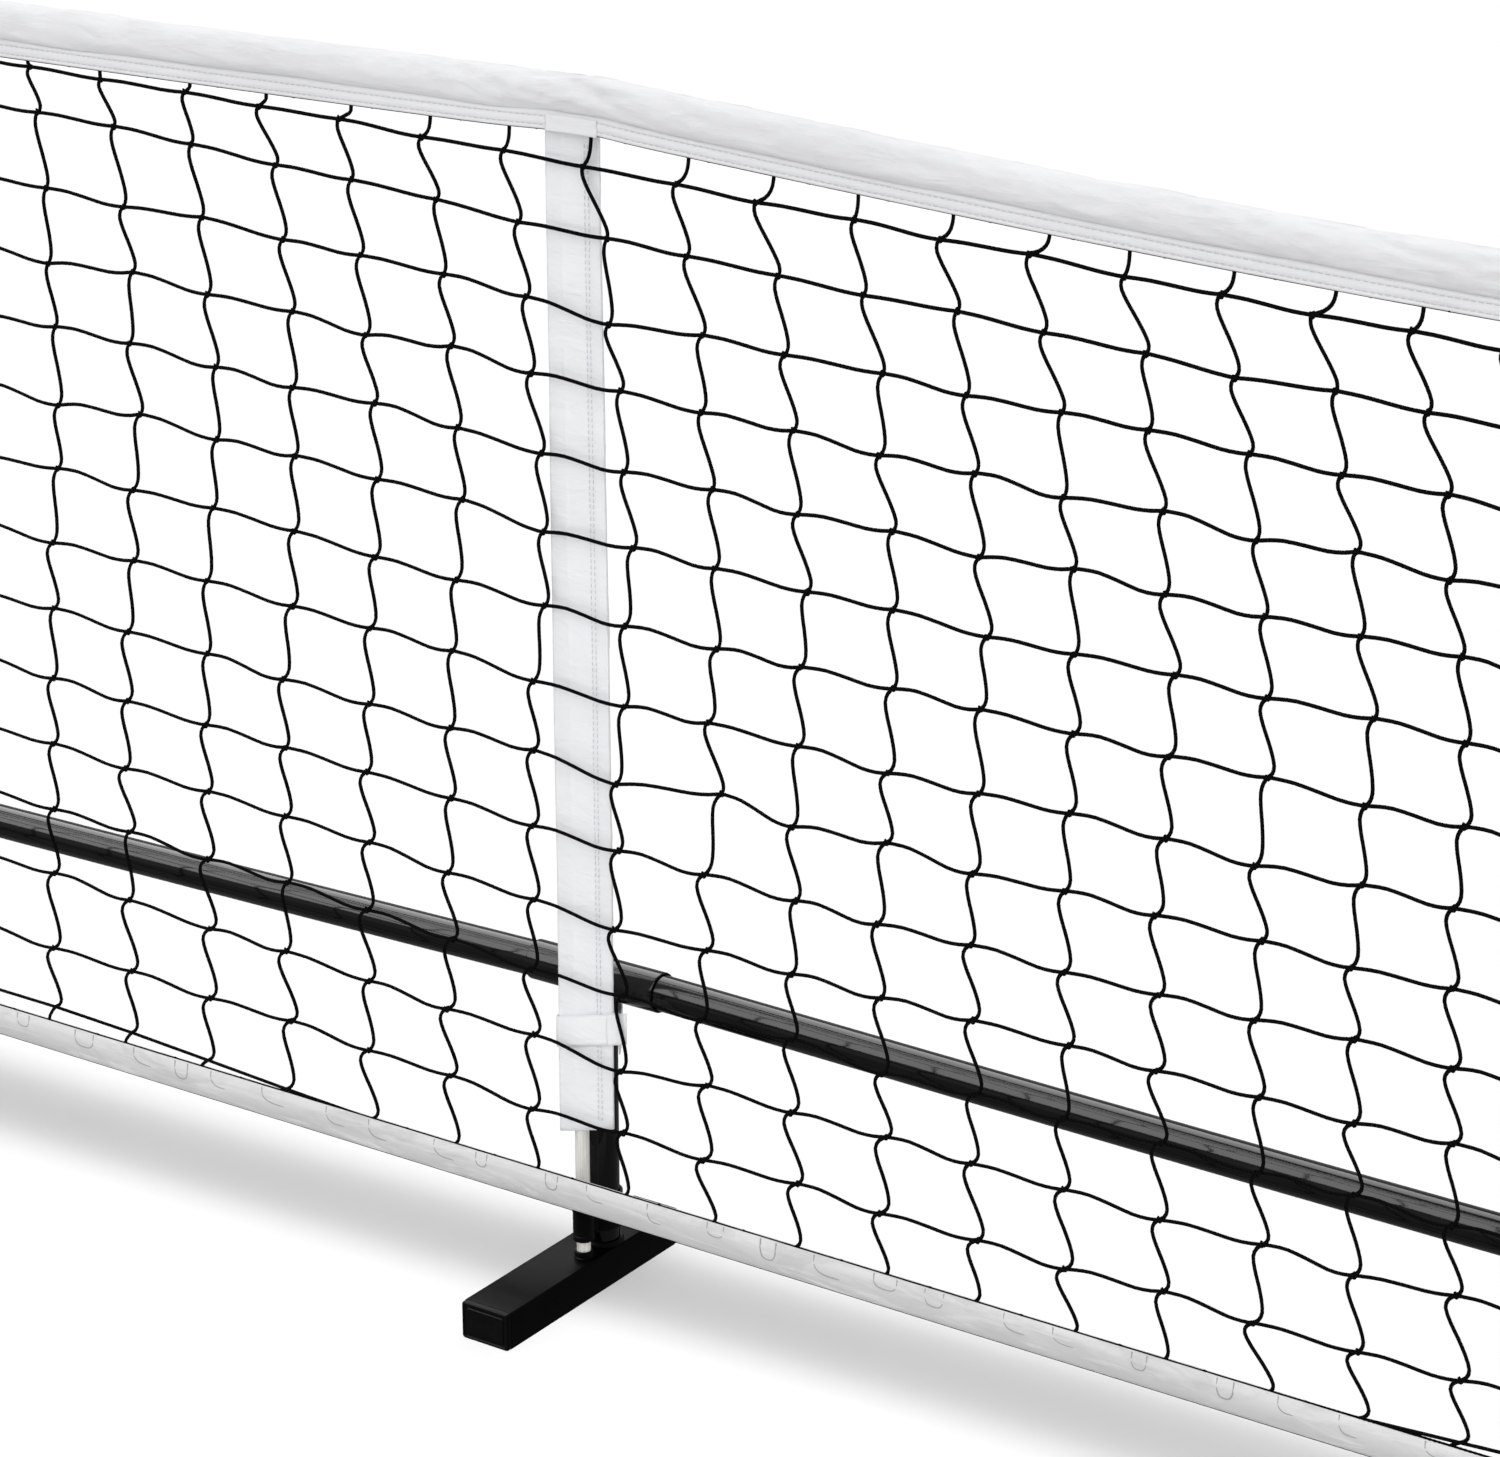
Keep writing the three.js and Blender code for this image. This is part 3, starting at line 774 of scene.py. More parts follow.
def build_band_patch():
    """The reinforcing patch sewn over the hem at the strap."""
    rings = []
    for x in np.linspace(STRAP_X - PATCH_LEFT, STRAP_X + PATCH_RIGHT, 25):
        low = hem_low(x) - 1.0
        lip = 0.25 * rough(x / 9, 2.0)
        rings.append([
            (x, NET_Y - 2.75 - lip - 0.2 * math.sin(z * 0.9), low + z)
            for z in np.linspace(0, HEM_HEIGHT - 1.0, 12)
        ])
    cloth("band_patch", rings, HEM_CLOTH_PAINTED_LIGHT, 0.5, flat=(0.0115, 0.041), held="stretched", rests_on=["top_band"])


def build_edge_cords():
    """The thin black cords that edge the hem and the bottom band, and the cord ends that show there."""
    build = Build()
    stations = net_stations(8, 16)
    tube_along(build, [(x, NET_Y - 0.6, hem_low(x) - 0.35) for x in stations], EDGE_CORD_R * 0.75, 5)
    path, radii = [], []
    for x in np.arange(-NET_HALF, NET_HALF, 1.6):
        thick = smoothstep(520, 640, x)
        radii.append(EDGE_CORD_R + thick * 0.45 * (1 + 0.45 * math.sin(x * 2.1)))
        path.append((x, NET_Y - 0.7, TAPE_HIGH + 0.3))
    tube_along(build, path, radii, 5)
    tube_along(build, [(x, NET_Y - 1.2, TAPE_LOW + 0.1) for x in stations], EDGE_CORD_R * 0.5, 5)
    for i in range(-COLUMNS, COLUMNS):
        for row, height in ((0, 0), (ROWS, 1)):
            x = (KNOTS[i, row][0] + KNOTS[i + 1, row][0]) / 2 + draw.uniform(-6, 6)
            z = TAPE_HIGH + 0.4 if height else hem_low(x) - 0.2
            end = [(x - 0.8, NET_Y - 0.6, z), (x, NET_Y - 0.9, z + 0.3), (x + 0.9, NET_Y - 0.6, z - 0.2)]
            tube_along(build, end, CORD_R * 0.6, 5)
    stand_for(build.make("edge_cords", TWINE, sharp=180), "cord")


def tape_section(x):
    """Front face from its top edge, round the fold at the bottom and up the back: [y, height]."""
    height = TAPE_HIGH - TAPE_LOW
    section = []
    steps = 14
    for k in range(steps + 1):
        s = k / steps
        z = TAPE_HIGH - s * (height - 1.2)
        y = -1.55 - 0.9 * smoothstep(0.0, 0.3, s) + 0.9 * smoothstep(0.45, 1.0, s)
        y -= 0.35 * math.exp(-(((s - 0.3) / 0.05) ** 2))
        y -= 0.35 * rough(x / 30, s * 2.2, 4.0) + 0.15 * rough(x / 9, s * 4, 6.0)
        section.append((y, z))
    fold = [(1.45 * -math.cos(a), TAPE_LOW + 1.2 - 1.1 * math.sin(a)) for a in np.linspace(0.5, 2.64, 5)]
    back = [(1.55 + 0.3 * smoothstep(0, 0.3, 1 - k / 8) + 0.25 * rough(x / 22, k * 0.4, 7.0),
             TAPE_LOW + 1.2 + k / 8 * (height - 1.2)) for k in range(9)]
    return section + fold + back


def build_bottom_band():
    rings = [[(x, NET_Y + y, z) for y, z in tape_section(x)] for x in net_stations(3.6, 14)]
    cloth(
        "bottom_band", rings, TAPE, 0.5, "tape", ["band_bottom"], NET_Y,
        flat=(0.05, 2 * NET_HALF / 1000), held="stretched", rests_on=["net_cords_up"])


def ghost_loop(x, width, height, closed):
    """The centre line of one half-mesh under the tape: down, across and, where it is closed, up again."""
    points = []
    for s in np.linspace(0, 1 if closed else 0.62, 17):
        turn = math.pi * s
        across = width * (1 - math.copysign(abs(math.cos(turn)) ** 0.7, math.cos(turn))) / 2
        drop = height * math.sin(turn) ** 0.55 if 0 < s < 1 else 0.0
        bulge = 0.8 * smoothstep(0.0, 0.3, drop / (TAPE_HIGH - TAPE_LOW))
        sink = 0.0 if closed else 0.7 * smoothstep(0.45, 0.62, s)
        points.append((x + across, NET_Y - 1.5 - bulge + sink, TAPE_HIGH - 1.0 - drop))
    return points


def build_ghost_cords():
    """The netting's last half-meshes, which show as low ridges under the tape."""
    build = Build()
    x = -NET_HALF + 20
    while x < NET_HALF - 90:
        closed = draw.random() < 0.6
        width = draw.uniform(9, 20) if closed else draw.uniform(18, 34)
        tube_along(build, ghost_loop(x, width, draw.uniform(9, 14), closed), 0.55, 6)
        x += draw.uniform(34, 62)
    stand_for(build.make("tape_ridges", GHOST, sharp=180), "tape")


# ---------------------------------------------------------------- strap, ties and sleeves
def strap_half_depth(x, z, x0, x1, rod_x):
    """Half the depth of the strap's sleeve: full over the rod, thin at both sewn edges, softly creased."""
    if x < rod_x:
        share = smoothstep(x0, rod_x, x)
    else:
        share = (1 - (x - rod_x) / (x1 - rod_x)) ** 1.35
    depth = 0.9 + 6.5 * share
    depth += 0.35 * rough(x / 12, z / 17, 3.0) + 0.6 * rough(x / 34, z / 60, 8.0)
    depth -= 0.5 * max(0.0, 1 - 4 * abs(rough(x / 40, z / 34, 11.0)))
    depth -= 0.8 * math.exp(-(((x - x1 + 9) / 1.2) ** 2))
    squeeze = 0.6 * math.exp(-(((z - 203) / 16) ** 2))
    return max(STRAP_EDGE, depth - squeeze)


def build_strap():
    """The sleeve over the rod: a front and a back that meet at both sides."""
    rod_x, rod_y = middle("rod")[:2]
    middle_x = STRAP_X + STRAP_SHIFT
    x0, x1 = middle_x - STRAP_WIDTH / 2, middle_x + STRAP_WIDTH / 2
    top = CENTRE_HEIGHT - STRAP_TUCK
    xs = np.concatenate([np.linspace(x0, rod_x, 12), np.linspace(rod_x, x1, 26)[1:]])
    rings = []
    count = 150
    for n in range(count + 1):
        s = n / count
        ring = []
        lean = 1.2 * math.sin(s * 5.0) + 0.9 * rough(s * 6, 2.2)
        spread = 1.02 - 0.07 * smoothstep(0.4, 1.0, s)
        for x, face in [(x, -1) for x in xs] + [(x, 1) for x in reversed(xs)]:
            low = STRAP_LOW + STRAP_SLANT * (x - x0) / (x1 - x0)
            z = low + (top - low) * s
            depth = strap_half_depth(x, z, x0, x1, rod_x)
            edge = min(1.0, (depth - STRAP_EDGE) / 6.0)
            middle_y = rod_y - 5.3 * (1 - edge) + 0.3 * rough(z / 70, 5.0)
            ring.append((middle_x + (x - middle_x) * spread + lean * 0.5, middle_y + face * depth, z))
        rings.append(ring)
    cloth(
        "center_strap", rings, STRAP_CLOTH, 0.5, nodes=["strap_center"], fold_y=rod_y, closed=(False, True),
        flat=(0.096, 0.70), held="hung", rests_on=["top_band", "rod_smooth"])


def stitch(build, start, end, bow=0.25):
    """One stitch of thread from start to end, standing slightly proud to the front."""
    start, end = np.array(start, float), np.array(end, float)
    middle_point = (start + end) / 2 - [0, bow, 0]
    tube_along(build, [start, middle_point, end], 0.26, 5)


def build_strap_stitches():
    """The double row of stitches down the strap's right side."""
    rod_y = middle("rod")[1]
    build = Build()
    right = STRAP_X + STRAP_SHIFT + STRAP_WIDTH / 2
    for inset in (8.4, 11.2):
        z = 142.0
        while z < CENTRE_HEIGHT - 46:
            s = (z - 130) / 710
            x = right - inset - 1.6 * smoothstep(0.4, 1.0, s) + 0.35 * rough(z / 60, inset)
            y = rod_y - 6.55 - 0.05 * inset
            stitch(build, (x, y, z), (x + 0.1, y, z + STRAP_STITCH))
            z += STRAP_STITCH_PITCH
    stand_for(build.make("strap_stitches", THREAD, sharp=180), "white_fabric")


def build_hem_stitches():
    """Two rows of stitches along the front of the top band's hem."""
    build = Build()
    for height in (2.8, 8.5):
        x = -NET_HALF + 6
        while x < NET_HALF - 6:
            end_x = x + HEM_STITCH
            near, far = hem_low(x) + height, hem_low(end_x) + height
            stitch(build, (x, NET_Y - 1.85, near), (end_x, NET_Y - 1.85, far), 0.35)
            x += HEM_STITCH_PITCH
    stand_for(build.make("hem_stitches", THREAD, sharp=180), "white_fabric")


def hull_path(points, step):
    """The closed line round a set of points, resampled evenly. The step is in metres."""
    order = geometry.convex_hull_2d([Vector(p) for p in points])
    corners = np.array([points[k] for k in order] + [points[order[0]]])
    lengths = np.linalg.norm(np.diff(corners, axis=0), axis=1)
    along = np.concatenate([[0], np.cumsum(lengths)])
    places = np.linspace(0, along[-1], int(along[-1] / (step * 1000)), endpoint=False)
    return np.stack([np.interp(places, along, corners[:, k]) for k in (0, 1)], 1)


def circle_points(x, y, radius, count=40):
    u, v = ring_points(radius, count)
    return [(x + a, y + b) for a, b in zip(u, v)]


def tie_lift(x):
    """How far the centre tie's front climbs towards the right."""
    return 3 + 0.27 * (x + 8)


def build_center_tie():
    """A length of tape round the strap and the upright, its end pressed down on the right."""
    upright = middle("upright_center")
    rod_x, rod_y = middle("rod")[:2]
    left = STRAP_X + STRAP_SHIFT - STRAP_WIDTH / 2 - 1.2
    right = STRAP_X + STRAP_SHIFT + STRAP_WIDTH / 2 + 1.0
    around = circle_points(upright[0], upright[1], 15.9) + circle_points(rod_x, rod_y, 8.4)
    around += [(left, rod_y - 7.4), (right, rod_y - 7.4), (right, rod_y + 0.5)]
    path = hull_path(around, TIE_STEP_M)
    low, high = node_box("tie_center")[0][2], node_box("tie_center")[1][2]
    rings = []
    for x, y in path:
        lift = smoothstep(13, 1, y) * tie_lift(x)
        rings.append([
            (x, y - 0.35 * rough(x / 10, y / 10, s * 2), low + lift + (high - low) * s)
            for s in np.linspace(0, 1, 9)
        ])
    cloth(
        "center_tie", rings, STRAP_CLOTH, 0.9, nodes=["tie_center"], closed=(True, False),
        flat=(0.023, len(path) * TIE_STEP_M), held="stretched", rests_on=["center_strap", "upright"])
    tab = []
    for x in np.linspace(34.5, 50, 11):
        y = rod_y - 8.6 + 0.10 * (x - 34) + 0.3 * math.sin(x)
        tab_low = low + tie_lift(x)
        tab.append([(x, y - 0.9, tab_low + (high - low) * s + 0.6) for s in np.linspace(0, 1, 9)])
    cloth(
        "center_tie_end", tab, STRAP_CLOTH, 1.0,
        flat=(0.023, 0.0155), held="stretched", rests_on=["center_tie"])


def build_side_hem(name, side):
    """The flat folded hem that ends the netting beside a post."""
    low, high = node_box("sleeve_" + name)
    x0, x1 = side * (POST_X - SIDE_HEM_INNER), side * (POST_X - SIDE_HEM_OUTER)
    rings = []
    for z in np.arange(low[2], high[2] + 4, 5.0):
        z = min(z, high[2])
        ring = []
        for s in np.linspace(0, 1, 12):
            bow = 0.5 * rough(z / 50, s * 2, side) + 0.25 * math.sin(s * math.pi * 6)
            ring.append((x0 + (x1 - x0) * s, NET_Y - 1.7 - 0.3 * bow, z))
        for s in np.linspace(1, 0, 12):
            ring.append((x0 + (x1 - x0) * s, NET_Y + 1.6 + 0.2 * rough(z / 40, s * 3, side + 4), z))
        rings.append(ring)
    cloth(
        "side_hem_" + name, rings, CLOTH, 0.5, fold_y=NET_Y, closed=(False, True),
        flat=(0.096, (high[2] - low[2]) / 1000), held="stretched", rests_on=["net_cords_along"])


def build_post_sleeve(name, side):
    """The loop of cloth that slides down over a post, creased where it is slack."""
    at = middle("post_" + name)
    low = node_box("socket_" + name)[1][2] + 6
    high = node_box("sleeve_" + name)[1][2]
    seam_x = side * (POST_X - 27)
    around = circle_points(at[0], at[1], 17.6, 60) + [(seam_x, NET_Y - 2.2), (seam_x, NET_Y + 2.2)]
    path = hull_path(around, SLEEVE_STEP_M)
    rings = []
    for z in np.arange(low, high + 3, 5.0):
        z = min(z, high)
        ring = []
        for x, y in path:
            out = np.array([x - at[0], y - at[1]])
            angle = math.atan2(out[1], out[0])
            crease = 0.8 * abs(rough(z / 45 + angle * 1.5, angle * 1.3, side + 2))
            crease += 0.25 * rough(z / 12, angle * 3)
            spread = 1 + 0.05 * crease
            ring.append((at[0] + out[0] * spread, at[1] + out[1] * spread, z))
        rings.append(ring)
    cloth(
        "post_sleeve_" + name, rings, CLOTH, 0.6, nodes=["sleeve_" + name], closed=(False, True),
        flat=(len(path) * SLEEVE_STEP_M, (high - low) / 1000), held="hung",
        rests_on=["post_" + name + "_smooth"])


def build_end_tie(name, side):
    """A tie that closes the hem's lower corner round the post socket."""
    at = middle("post_" + name)
    low, high = node_box("tie_" + name)[0][2], node_box("tie_" + name)[1][2]
    corner_x = side * (POST_X - 30)
    around = circle_points(at[0], at[1], 19.6, 60) + [(corner_x, NET_Y - 2.4), (corner_x, NET_Y + 0.4)]
    path = hull_path(around, TIE_STEP_M)
    shares = np.linspace(0, 1, 8)
    rings = [[(x, y + 0.3 * rough(x / 9, y / 9, s), low + (high - low) * s) for s in shares] for x, y in path]
    cloth(
        "end_tie_" + name, rings, STRAP_CLOTH, 0.9, nodes=["tie_" + name], closed=(True, False),
        flat=(0.024, len(path) * TIE_STEP_M), held="stretched", rests_on=["side_hem_" + name])
    tab = []
    for x in np.linspace(POST_X - 60, POST_X - 26, 12):
        y = NET_Y - 3.0 - 0.3 * math.sin(x)
        tab.append([(side * x, y, low + (high - low) * s) for s in shares])
    cloth(
        "end_tie_tab_" + name, tab, STRAP_CLOTH, 0.8,
        flat=(0.024, 0.034), held="stretched", rests_on=["end_tie_" + name])


# ---------------------------------------------------------------- frame
def build_rails():
    """Three poles a side; each outer pole starts where the one before it ends."""
    for name in ("left", "right"):
        for number in (1, 2, 3):
            node = "rail_%s_%d" % (name, number)
            low, high = node_box(node)
            outer = (high[2] - low[2]) / 2
            at = (0, (low[1] + high[1]) / 2, (low[2] + high[2]) / 2)
            a, b = low[0], high[0]
            if number > 1:
                inner_end = node_box("rail_%s_%d" % (name, number - 1))
                a, b = (inner_end[1][0] + 0.4, b) if name == "right" else (a, inner_end[0][0] - 0.4)
            build = turned(Build(), rail_profile(outer, outer - TUBE_WALL, a, b), "x", at, wrap=True)
            stand_for(settle(build).make(node + "_smooth", RAIL_STEEL), "black_steel", node)


def build_upright():
    """The centre upright and the collar round its lower end."""
    low, high = node_box("upright_center")
    outer = (high[0] - low[0]) / 2
    at = (*middle("upright_center")[:2], 0)
    profile = pipe_profile(outer, outer - TUBE_WALL, low[2] + 1, high[2])
    stand_for(turned_piece("upright", profile, RAIL_STEEL, at), "black_steel", "upright_center")
    low, high = node_box("collar_center")
    profile = [
        (outer + 0.1, low[2]), (outer + 2.2, low[2]), (outer + 2.6, low[2] + 0.4),
        (outer + 2.6, low[2] + 1.7), (outer + 1.6, high[2] - 0.2), (outer + 0.9, high[2]),
        (outer + 0.1, high[2] - 0.3),
    ]
    stand_for(turned_piece("collar", profile, PLASTIC, at), "black_plastic", "collar_center")


def saddle(radius, run_radius, lift, count):
    """The line where an upright tube of radius meets the underside of a level tube of run_radius."""
    points = []
    for a in np.arange(count) / count * 2 * math.pi:
        x, y = radius * math.cos(a), radius * math.sin(a)
        points.append((x, y, -math.sqrt(max(0.0, run_radius ** 2 - y * y)) - lift))
    return np.array(points)


def build_tee():
    """A level sleeve for the rail, a socket for the upright and the weld bead between them."""
    low, high = node_box("tee_center")
    centre = np.array([0, (low[1] + high[1]) / 2, middle("rail_right_1")[2]])
    outer = high[2] - centre[2]
    build = turned(Build(), pipe_profile(outer, TEE_BORE_R, low[0], high[0], 0.5), "x", centre, wrap=True)
    socket = outer + 0.4
    count = 72
    rings = []
    for radius, rise in ((TEE_BORE_R, 0.5), (TEE_BORE_R + 0.4, 0), (socket - 0.5, 0), (socket, 0.6)):
        u, v = ring_points(radius, count)
        rings.append(np.stack([u + centre[0], v + centre[1], np.full(count, low[2] + rise)], 1))
    rings.append(saddle(socket, outer, 0.0, count) + centre)
    build.grid(rings)
    ripple = 1.0 + 0.18 * np.sin(np.arange(count) * 2.1)
    tube_loop(build, saddle(socket + 0.5, outer, 0.6, count) + centre, [0, 0, 1.0], ripple, 8)
    stand_for(settle(build).make("tee", RAIL_STEEL), "black_steel", "tee_center")


def rounded_rect(x, z, width, height, radius, per_corner=6):
    """Corner-rounded rectangle in the XZ plane."""
    points = []
    w, h = width / 2 - radius, height / 2 - radius
    for cx, cz, start in ((w, h, 0), (-w, h, 90), (-w, -h, 180), (w, -h, 270)):
        for k in range(per_corner + 1):
            a = math.radians(start + 90 * k / per_corner)
            points.append((x + cx + radius * math.cos(a), z + cz + radius * math.sin(a)))
    return points


def lying(build, stations, caps=False, wrap=False):
    """Joins rounded rectangles along Y: each station is (y, x, z, width, height, radius)."""
    rings = [[(px, y, pz) for px, pz in rounded_rect(x, z, w, h, r)] for y, x, z, w, h, r in stations]
    return build.grid(rings, wrap_rows=wrap, caps=caps)


def build_foot(name):
    """A foot's open tube and its two plug caps."""
    node = "foot_" + name
    low, high = node_box(node)
    x, z = (low[0] + high[0]) / 2, (low[2] + high[2]) / 2
    w, h = high[0] - low[0], high[2] - low[2]
    a, b = low[1] - 0.15, high[1] + 0.15
    inner = (x, z, w - 3.2, h - 3.2, 1.2)
    rim = (x, z, w - 0.5, h - 0.5, 1.3)
    wall = (x, z, w, h, 1.5)
    stations = [(a, *inner), (a, *rim), (a + 0.25, *wall), (b - 0.25, *wall), (b, *rim), (b, *inner)]
    tube = lying(Build(), stations, wrap=True).make(node + "_smooth", FOOT_STEEL, sharp=30)
    stand_for(tube, "black_steel", node)
    for end, side in (("front", -1), ("back", 1)):
        build_foot_cap(node + "_cap_" + end, side, x, z, w, h)


def build_foot_cap(node, side, x, z, w, h):
    """A plug cap. Its outline goes from the dished face, round the rim and into the tube."""
    face = node_box(node)[0][1] if side < 0 else node_box(node)[1][1]
    rim_depth = 3.7
    # Each step holds the distance behind the face, how much smaller than the tube, and the corner radius.
    shape = [
        (0.0, 9, 1.6), (0.55, 8, 1.8), (0.5, 5, 1.9), (0.0, 3.6, 1.9), (0.05, 1.4, 1.9), (0.5, 0.5, 2.1),
        (1.1, 0.1, 2.1), (rim_depth, 0.1, 2.1), (rim_depth + 0.1, 4.2, 1.2), (rim_depth + 16, 4.6, 1.2),
    ]
    stations = [(face - side * depth, x, z, w - less, h - less, radius) for depth, less, radius in shape]
    cap = lying(Build(), stations, caps=True).make(node + "_smooth", PLASTIC, sharp=30)
    stand_for(cap, "black_plastic", node)


def build_rod():
    """The fibreglass rod and the cap on its upper end."""
    low, high = node_box("rod")
    radius = (high[0] - low[0]) / 2
    at = (*middle("rod")[:2], 0)
    profile = [(0.0, low[2]), (radius - 0.5, low[2]), (radius, low[2] + 0.5)]
    profile += [(radius, z) for z in np.linspace(low[2] + 2, high[2] - 2, 12)]
    profile += [(radius, high[2] - 0.5), (radius - 0.5, high[2]), (0.0, high[2])]
    rod = turned_piece("rod_smooth", profile, FIBREGLASS, at, 48, "rod", wrap=False)
    stand_for(rod, "fibreglass", "rod")
    low, high = node_box("rod_tip")
    outer = (high[0] - low[0]) / 2
    profile = [
        (radius + 0.2, low[2]), (outer - 0.4, low[2]), (outer, low[2] + 0.4), (outer, high[2] - 3),
        (outer - 0.9, high[2] - 0.9), (outer - 2.8, high[2]), (0.0, high[2]), (0.0, high[2] - 1.6),
        (radius + 0.2, high[2] - 1.6),
    ]
    stand_for(turned_piece("rod_end_cap", profile, PLASTIC, at, 48, "rod"), "black_plastic", "rod_tip")


def build_cup():
    """The small cup in the foot that the rod's lower end stands in."""
    low, high = node_box("rod_cup")
    at = (*middle("rod_cup")[:2], 0)
    foot_top = node_box("foot_center")[1][2]
    outer = (high[0] - low[0]) / 2
    profile = [
        (0.0, low[2]), (outer - 1.6, low[2]), (outer - 1.6, foot_top + 0.2), (outer, foot_top + 0.2),
        (outer, foot_top + 1.2), (outer - 0.3, foot_top + 1.5), (outer - 0.3, high[2] - 0.6),
        (outer - 0.7, high[2]), (5.5, high[2]), (5.3, high[2] - 0.5), (5.3, foot_top + 1.0),
        (0.0, foot_top + 1.0),
    ]
    cup = turned_piece("cup", profile, PLASTIC, at, 48, wrap=False, sharp=30)
    stand_for(cup, "black_plastic", "rod_cup")


def build_guide():
    """The clip on the upright that the rod slides in: two eyes joined by a web."""
    low, high = node_box("rod_guide")
    rod_at, upright_at = middle("rod"), middle("upright_center")
    build = Build()
    for at, inner, outer in ((rod_at, 5.3, 7.8), (upright_at, 13.0, 14.9)):
        half = [
            (inner, 0.4), (inner + 0.4, 0), (outer - 0.6, 0), (outer, 0.6), (outer, 4), (outer - 0.35, 4.6),
        ]
        turned(build, mirrored(half, low[2], high[2]), "z", (at[0], at[1], 0), 56, wrap=True)
    z, h = (low[2] + high[2]) / 2, high[2] - low[2] - 3
    web = ((rod_at[1] + 6, 3.2, 9.5), (13, 2.4, 8.0), (upright_at[1] - 13.4, 1.5, 11.5))
    lying(build, [(y, x, z, w, h, 1.5) for y, x, w in web], caps=True)
    stand_for(build.make("guide", PLASTIC, sharp=30), "black_plastic", "rod_guide")


def build_buttons():
    """Each snap button: a domed pin out of the tube wall, riding on its own body."""
    for node in sorted(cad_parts):
        if not node.startswith("button_"):
            continue
        low, high = node_box(node)
        at = (low + high) / 2
        if node.startswith("button_post"):
            axis, sign = "x", (1 if at[0] > 0 else -1)
        else:
            axis, sign = "y", 1
        k = "xyz".index(axis)
        inner, outer = (low[k], high[k]) if sign > 0 else (-high[k], -low[k])
        origin = np.array(at)
        origin[k] = 0
        profile = [
            (0.0, inner), (4.0, inner), (4.4, inner + 0.3), (4.4, inner + 0.9), (4.0, inner + 1.2),
            (3.0, inner + 1.3), (3.0, outer - 1.4), (2.8, outer - 0.8), (2.3, outer - 0.35),
            (1.5, outer - 0.08), (0.0, outer),
        ]
        build = turned(Build(), [(r, sign * d) for r, d in profile], axis, origin, 40)
        if not node.startswith(("button_post", "button_socket")):
            settle(build)
        stand_for(build.make(node + "_pin", BUTTON, node), "button_steel", node)


def build_end(name, side):
    """A side post with its socket, rail stub and cap."""
    low, high = node_box("post_" + name)
    at = (*middle("post_" + name)[:2], 0)
    outer = (high[0] - low[0]) / 2
    profile = pipe_profile(outer, outer - POST_WALL, low[2], high[2])
    post = turned_piece("post_" + name + "_smooth", profile, RAIL_STEEL, at)
    stand_for(post, "black_steel", "post_" + name)
    low, high = node_box("socket_" + name)
    build = turned(Build(), pipe_profile(SOCKET_R, outer + 0.3, low[2], high[2], 0.5), "z", at, wrap=True)
    rail = middle("rail_right_1")
    stub = sorted((low[0] if side > 0 else high[0], side * (abs(at[0]) + 12)))
    turned(build, pipe_profile(STUB_R, 13.0, *stub, 0.5), "x", (0, rail[1], rail[2]), wrap=True)
    stand_for(build.make("socket_" + name + "_smooth", RAIL_STEEL), "black_steel", "socket_" + name)
    low, high = node_box("post_cap_" + name)
    rim = (high[0] - low[0]) / 2
    profile = [
        (0.0, low[2]), (outer - 2.3, low[2]), (outer - 2.0, low[2] + 14), (rim - 0.3, low[2] + 16.2),
        (rim, low[2] + 16.8), (rim, low[2] + 20.4), (rim - 0.5, low[2] + 21.6), (rim - 1.6, low[2] + 22.9),
        (rim - 3.6, low[2] + 24.4), (rim - 7, low[2] + 25.5), (rim - 11, high[2]), (0.0, high[2]),
    ]
    cap = turned_piece("post_cap_" + name + "_smooth", profile, PLASTIC, at, 56, wrap=False)
    stand_for(cap, "black_plastic", "post_cap_" + name)


# ---------------------------------------------------------------- stage
def unseen(obj, *rays):
    """Hides a stage object from some kinds of ray."""
    for ray in rays:
        setattr(obj, "visible_" + ray, False)


def build_floor():
    """The painted floor, which lights nothing."""
    m = Nodes("floor_paint").set(Roughness=0.9, Specular_IOR_Level=0.0)
    m.link(m.ramp(m.noise(3, 3), grey(0.93), grey(0.95)), "Base Color")
    r = FLOOR_R
    floor = mesh_object("floor", [(-r, -r, 0), (r, -r, 0), (r, r, 0), (-r, r, 0)], [(0, 1, 2, 3)], m.material)
    unseen(floor, "diffuse", "glossy")


def build_backdrop():
    """A pale wall that rings the floor far away, seen only by the camera."""
    m = Nodes("backdrop_paint").set(Emission_Strength=1.0, Roughness=1.0, Specular_IOR_Level=0.0)
    m.set(Base_Color=(0, 0, 0, 1), Emission_Color=(0.97, 0.97, 0.97, 1))
    m.material.cycles.emission_sampling = "NONE"
    ring = turned(Build(), [(BACKDROP_R, -500.0), (BACKDROP_R, 60000.0)], "z", (0, 0, 0), 96)
    wall = mesh_object("backdrop", ring.points, ring.faces, m.material)
    unseen(wall, "diffuse", "glossy", "transmission", "shadow")


def aim(obj, azimuth, elevation):
    """Makes a light or camera look in from an azimuth and elevation in degrees; 0, 0 is the front."""
    a, e = math.radians(azimuth), math.radians(elevation)
    back = Vector((math.sin(a) * math.cos(e), -math.cos(a) * math.cos(e), math.sin(e)))
    obj.rotation_mode = "QUATERNION"
    obj.rotation_quaternion = (-back).to_track_quat("-Z", "Y")


def sun(name, strength, azimuth, elevation, breadth):
    light = bpy.data.lights.new(name, "SUN")
    light.energy = strength
    light.angle = math.radians(breadth)
    obj = put(name, light)
    aim(obj, azimuth, elevation)
    return obj


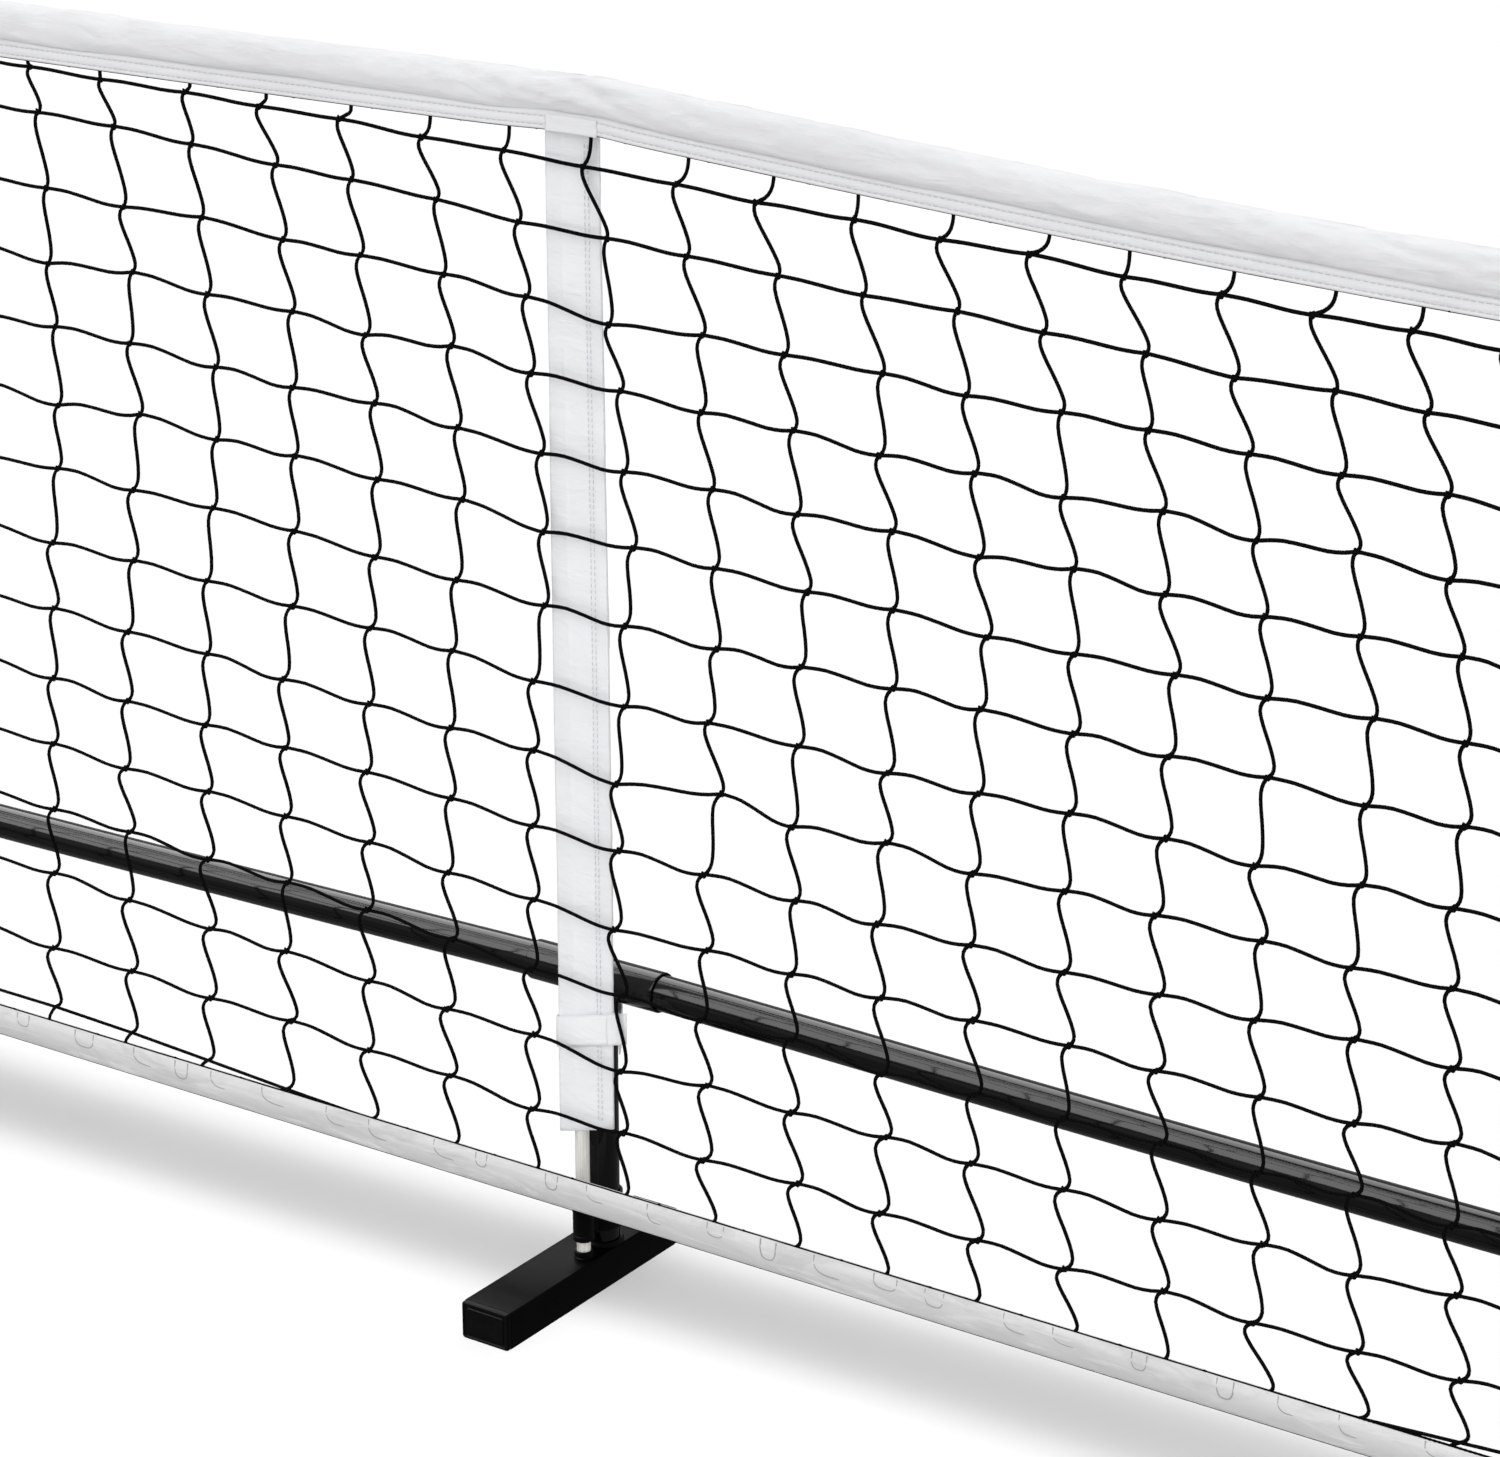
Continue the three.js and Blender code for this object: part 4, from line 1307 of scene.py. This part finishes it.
def studio_world():
    """A dim dome, paler towards the horizon."""
    world = bpy.data.worlds.new("studio")
    bpy.context.scene.world = world
    world.use_nodes = True
    tree = world.node_tree
    place = tree.nodes.new("ShaderNodeTexCoord")
    split = tree.nodes.new("ShaderNodeSeparateXYZ")
    half = tree.nodes.new("ShaderNodeMapRange")
    level = tree.nodes.new("ShaderNodeValToRGB")
    tree.links.new(place.outputs["Generated"], split.inputs[0])
    tree.links.new(split.outputs["Z"], half.inputs["Value"])
    half.inputs["From Min"].default_value = -1.0
    tree.links.new(half.outputs["Result"], level.inputs["Fac"])
    stops = level.color_ramp.elements
    stops[0].position, stops[0].color = 0.44, (NADIR, NADIR, NADIR, 1)
    stops[1].position, stops[1].color = 0.9, (ZENITH, ZENITH, ZENITH * 1.03, 1)
    horizon = stops.new(0.5)
    horizon.color = (HORIZON, HORIZON, HORIZON * 1.02, 1)
    background = tree.nodes["Background"]
    tree.links.new(level.outputs["Color"], background.inputs["Color"])


def group_of(name, pieces):
    group = bpy.data.collections.new(name)
    for piece in pieces:
        group.objects.link(piece)
    return group


def shine_on(light, name, pieces, blockers=None):
    """Lets a light fall only on some pieces, and be blocked only by some."""
    linking = light.light_linking
    linking.receiver_collection = group_of(name, pieces)
    if blockers is not None:
        linking.blocker_collection = group_of(name + "_blockers", blockers)


def build_flag():
    """A strip that the camera doesn't see, which shapes the net's soft shadow on the floor."""
    rings = []
    for x in np.linspace(-POST_X, POST_X, 41):
        y = NET_Y + FLAG_DRIFT * math.tanh(x / 450)
        rings.append([(x, y + side * FLAG_WIDTH / 2, CENTRE_HEIGHT - 20) for side in (-1, 1)])
    flag = mesh_object("light_flag", np.array(rings).reshape(-1, 3), grid_faces(len(rings), 2))
    unseen(flag, "camera", "diffuse", "glossy", "transmission", "volume_scatter")
    return flag


def build_light():
    """Cloth and netting get a dome, a fill and a bounce, the floor its own sun, metalwork two boxes."""
    studio_world()
    metal = (RAIL_STEEL, FOOT_STEEL, PLASTIC, BUTTON)
    floor = bpy.data.objects["floor"]
    stage = (floor, bpy.data.objects["backdrop"])
    meshes = [o for o in bpy.context.scene.objects if o.type == "MESH" and o not in stage]
    pieces = [o for o in meshes if o.data.materials]
    metalwork = [o for o in pieces if o.data.materials[0] in metal]
    soft = [o for o in pieces if o.data.materials[0] not in metal]
    shine_on(sun("dome", *DOME), "lit_by_dome", soft, pieces)
    shine_on(sun("fill", *FILL), "lit_by_fill", soft, pieces)
    shine_on(sun("bounce", *BOUNCE), "lit_by_bounce", soft, pieces)
    shine_on(sun("over_floor", *OVER_FLOOR), "lit_over_floor", [floor], [build_flag()])
    shine_on(sun("front_box", *FRONT_BOX), "lit_by_front_box", metalwork)
    shine_on(sun("back_box", *BACK_BOX), "lit_by_back_box", metalwork)


def build_camera():
    """The photo's camera."""
    data = bpy.data.cameras.new("camera")
    data.lens = CAMERA_LENS
    data.sensor_width = 36
    data.clip_start = 0.1
    data.clip_end = 400
    camera = put("camera", data)
    camera.location = CAMERA_AT
    aim(camera, *CAMERA_ANGLES)
    bpy.context.scene.camera = camera


bpy.context.scene.view_settings.view_transform = "Standard"
build_camera()
build_floor()
build_backdrop()
build_netting()
build_top_band()
build_band_patch()
build_edge_cords()
build_bottom_band()
build_ghost_cords()
build_strap()
build_strap_stitches()
build_hem_stitches()
build_center_tie()
build_rails()
build_upright()
build_tee()
build_rod()
build_cup()
build_guide()
build_buttons()
for foot_name in ("center", "left", "right"):
    build_foot(foot_name)
for end_name, end_side in (("left", -1), ("right", 1)):
    build_end(end_name, end_side)
    build_side_hem(end_name, end_side)
    build_post_sleeve(end_name, end_side)
    build_end_tie(end_name, end_side)

build_light()
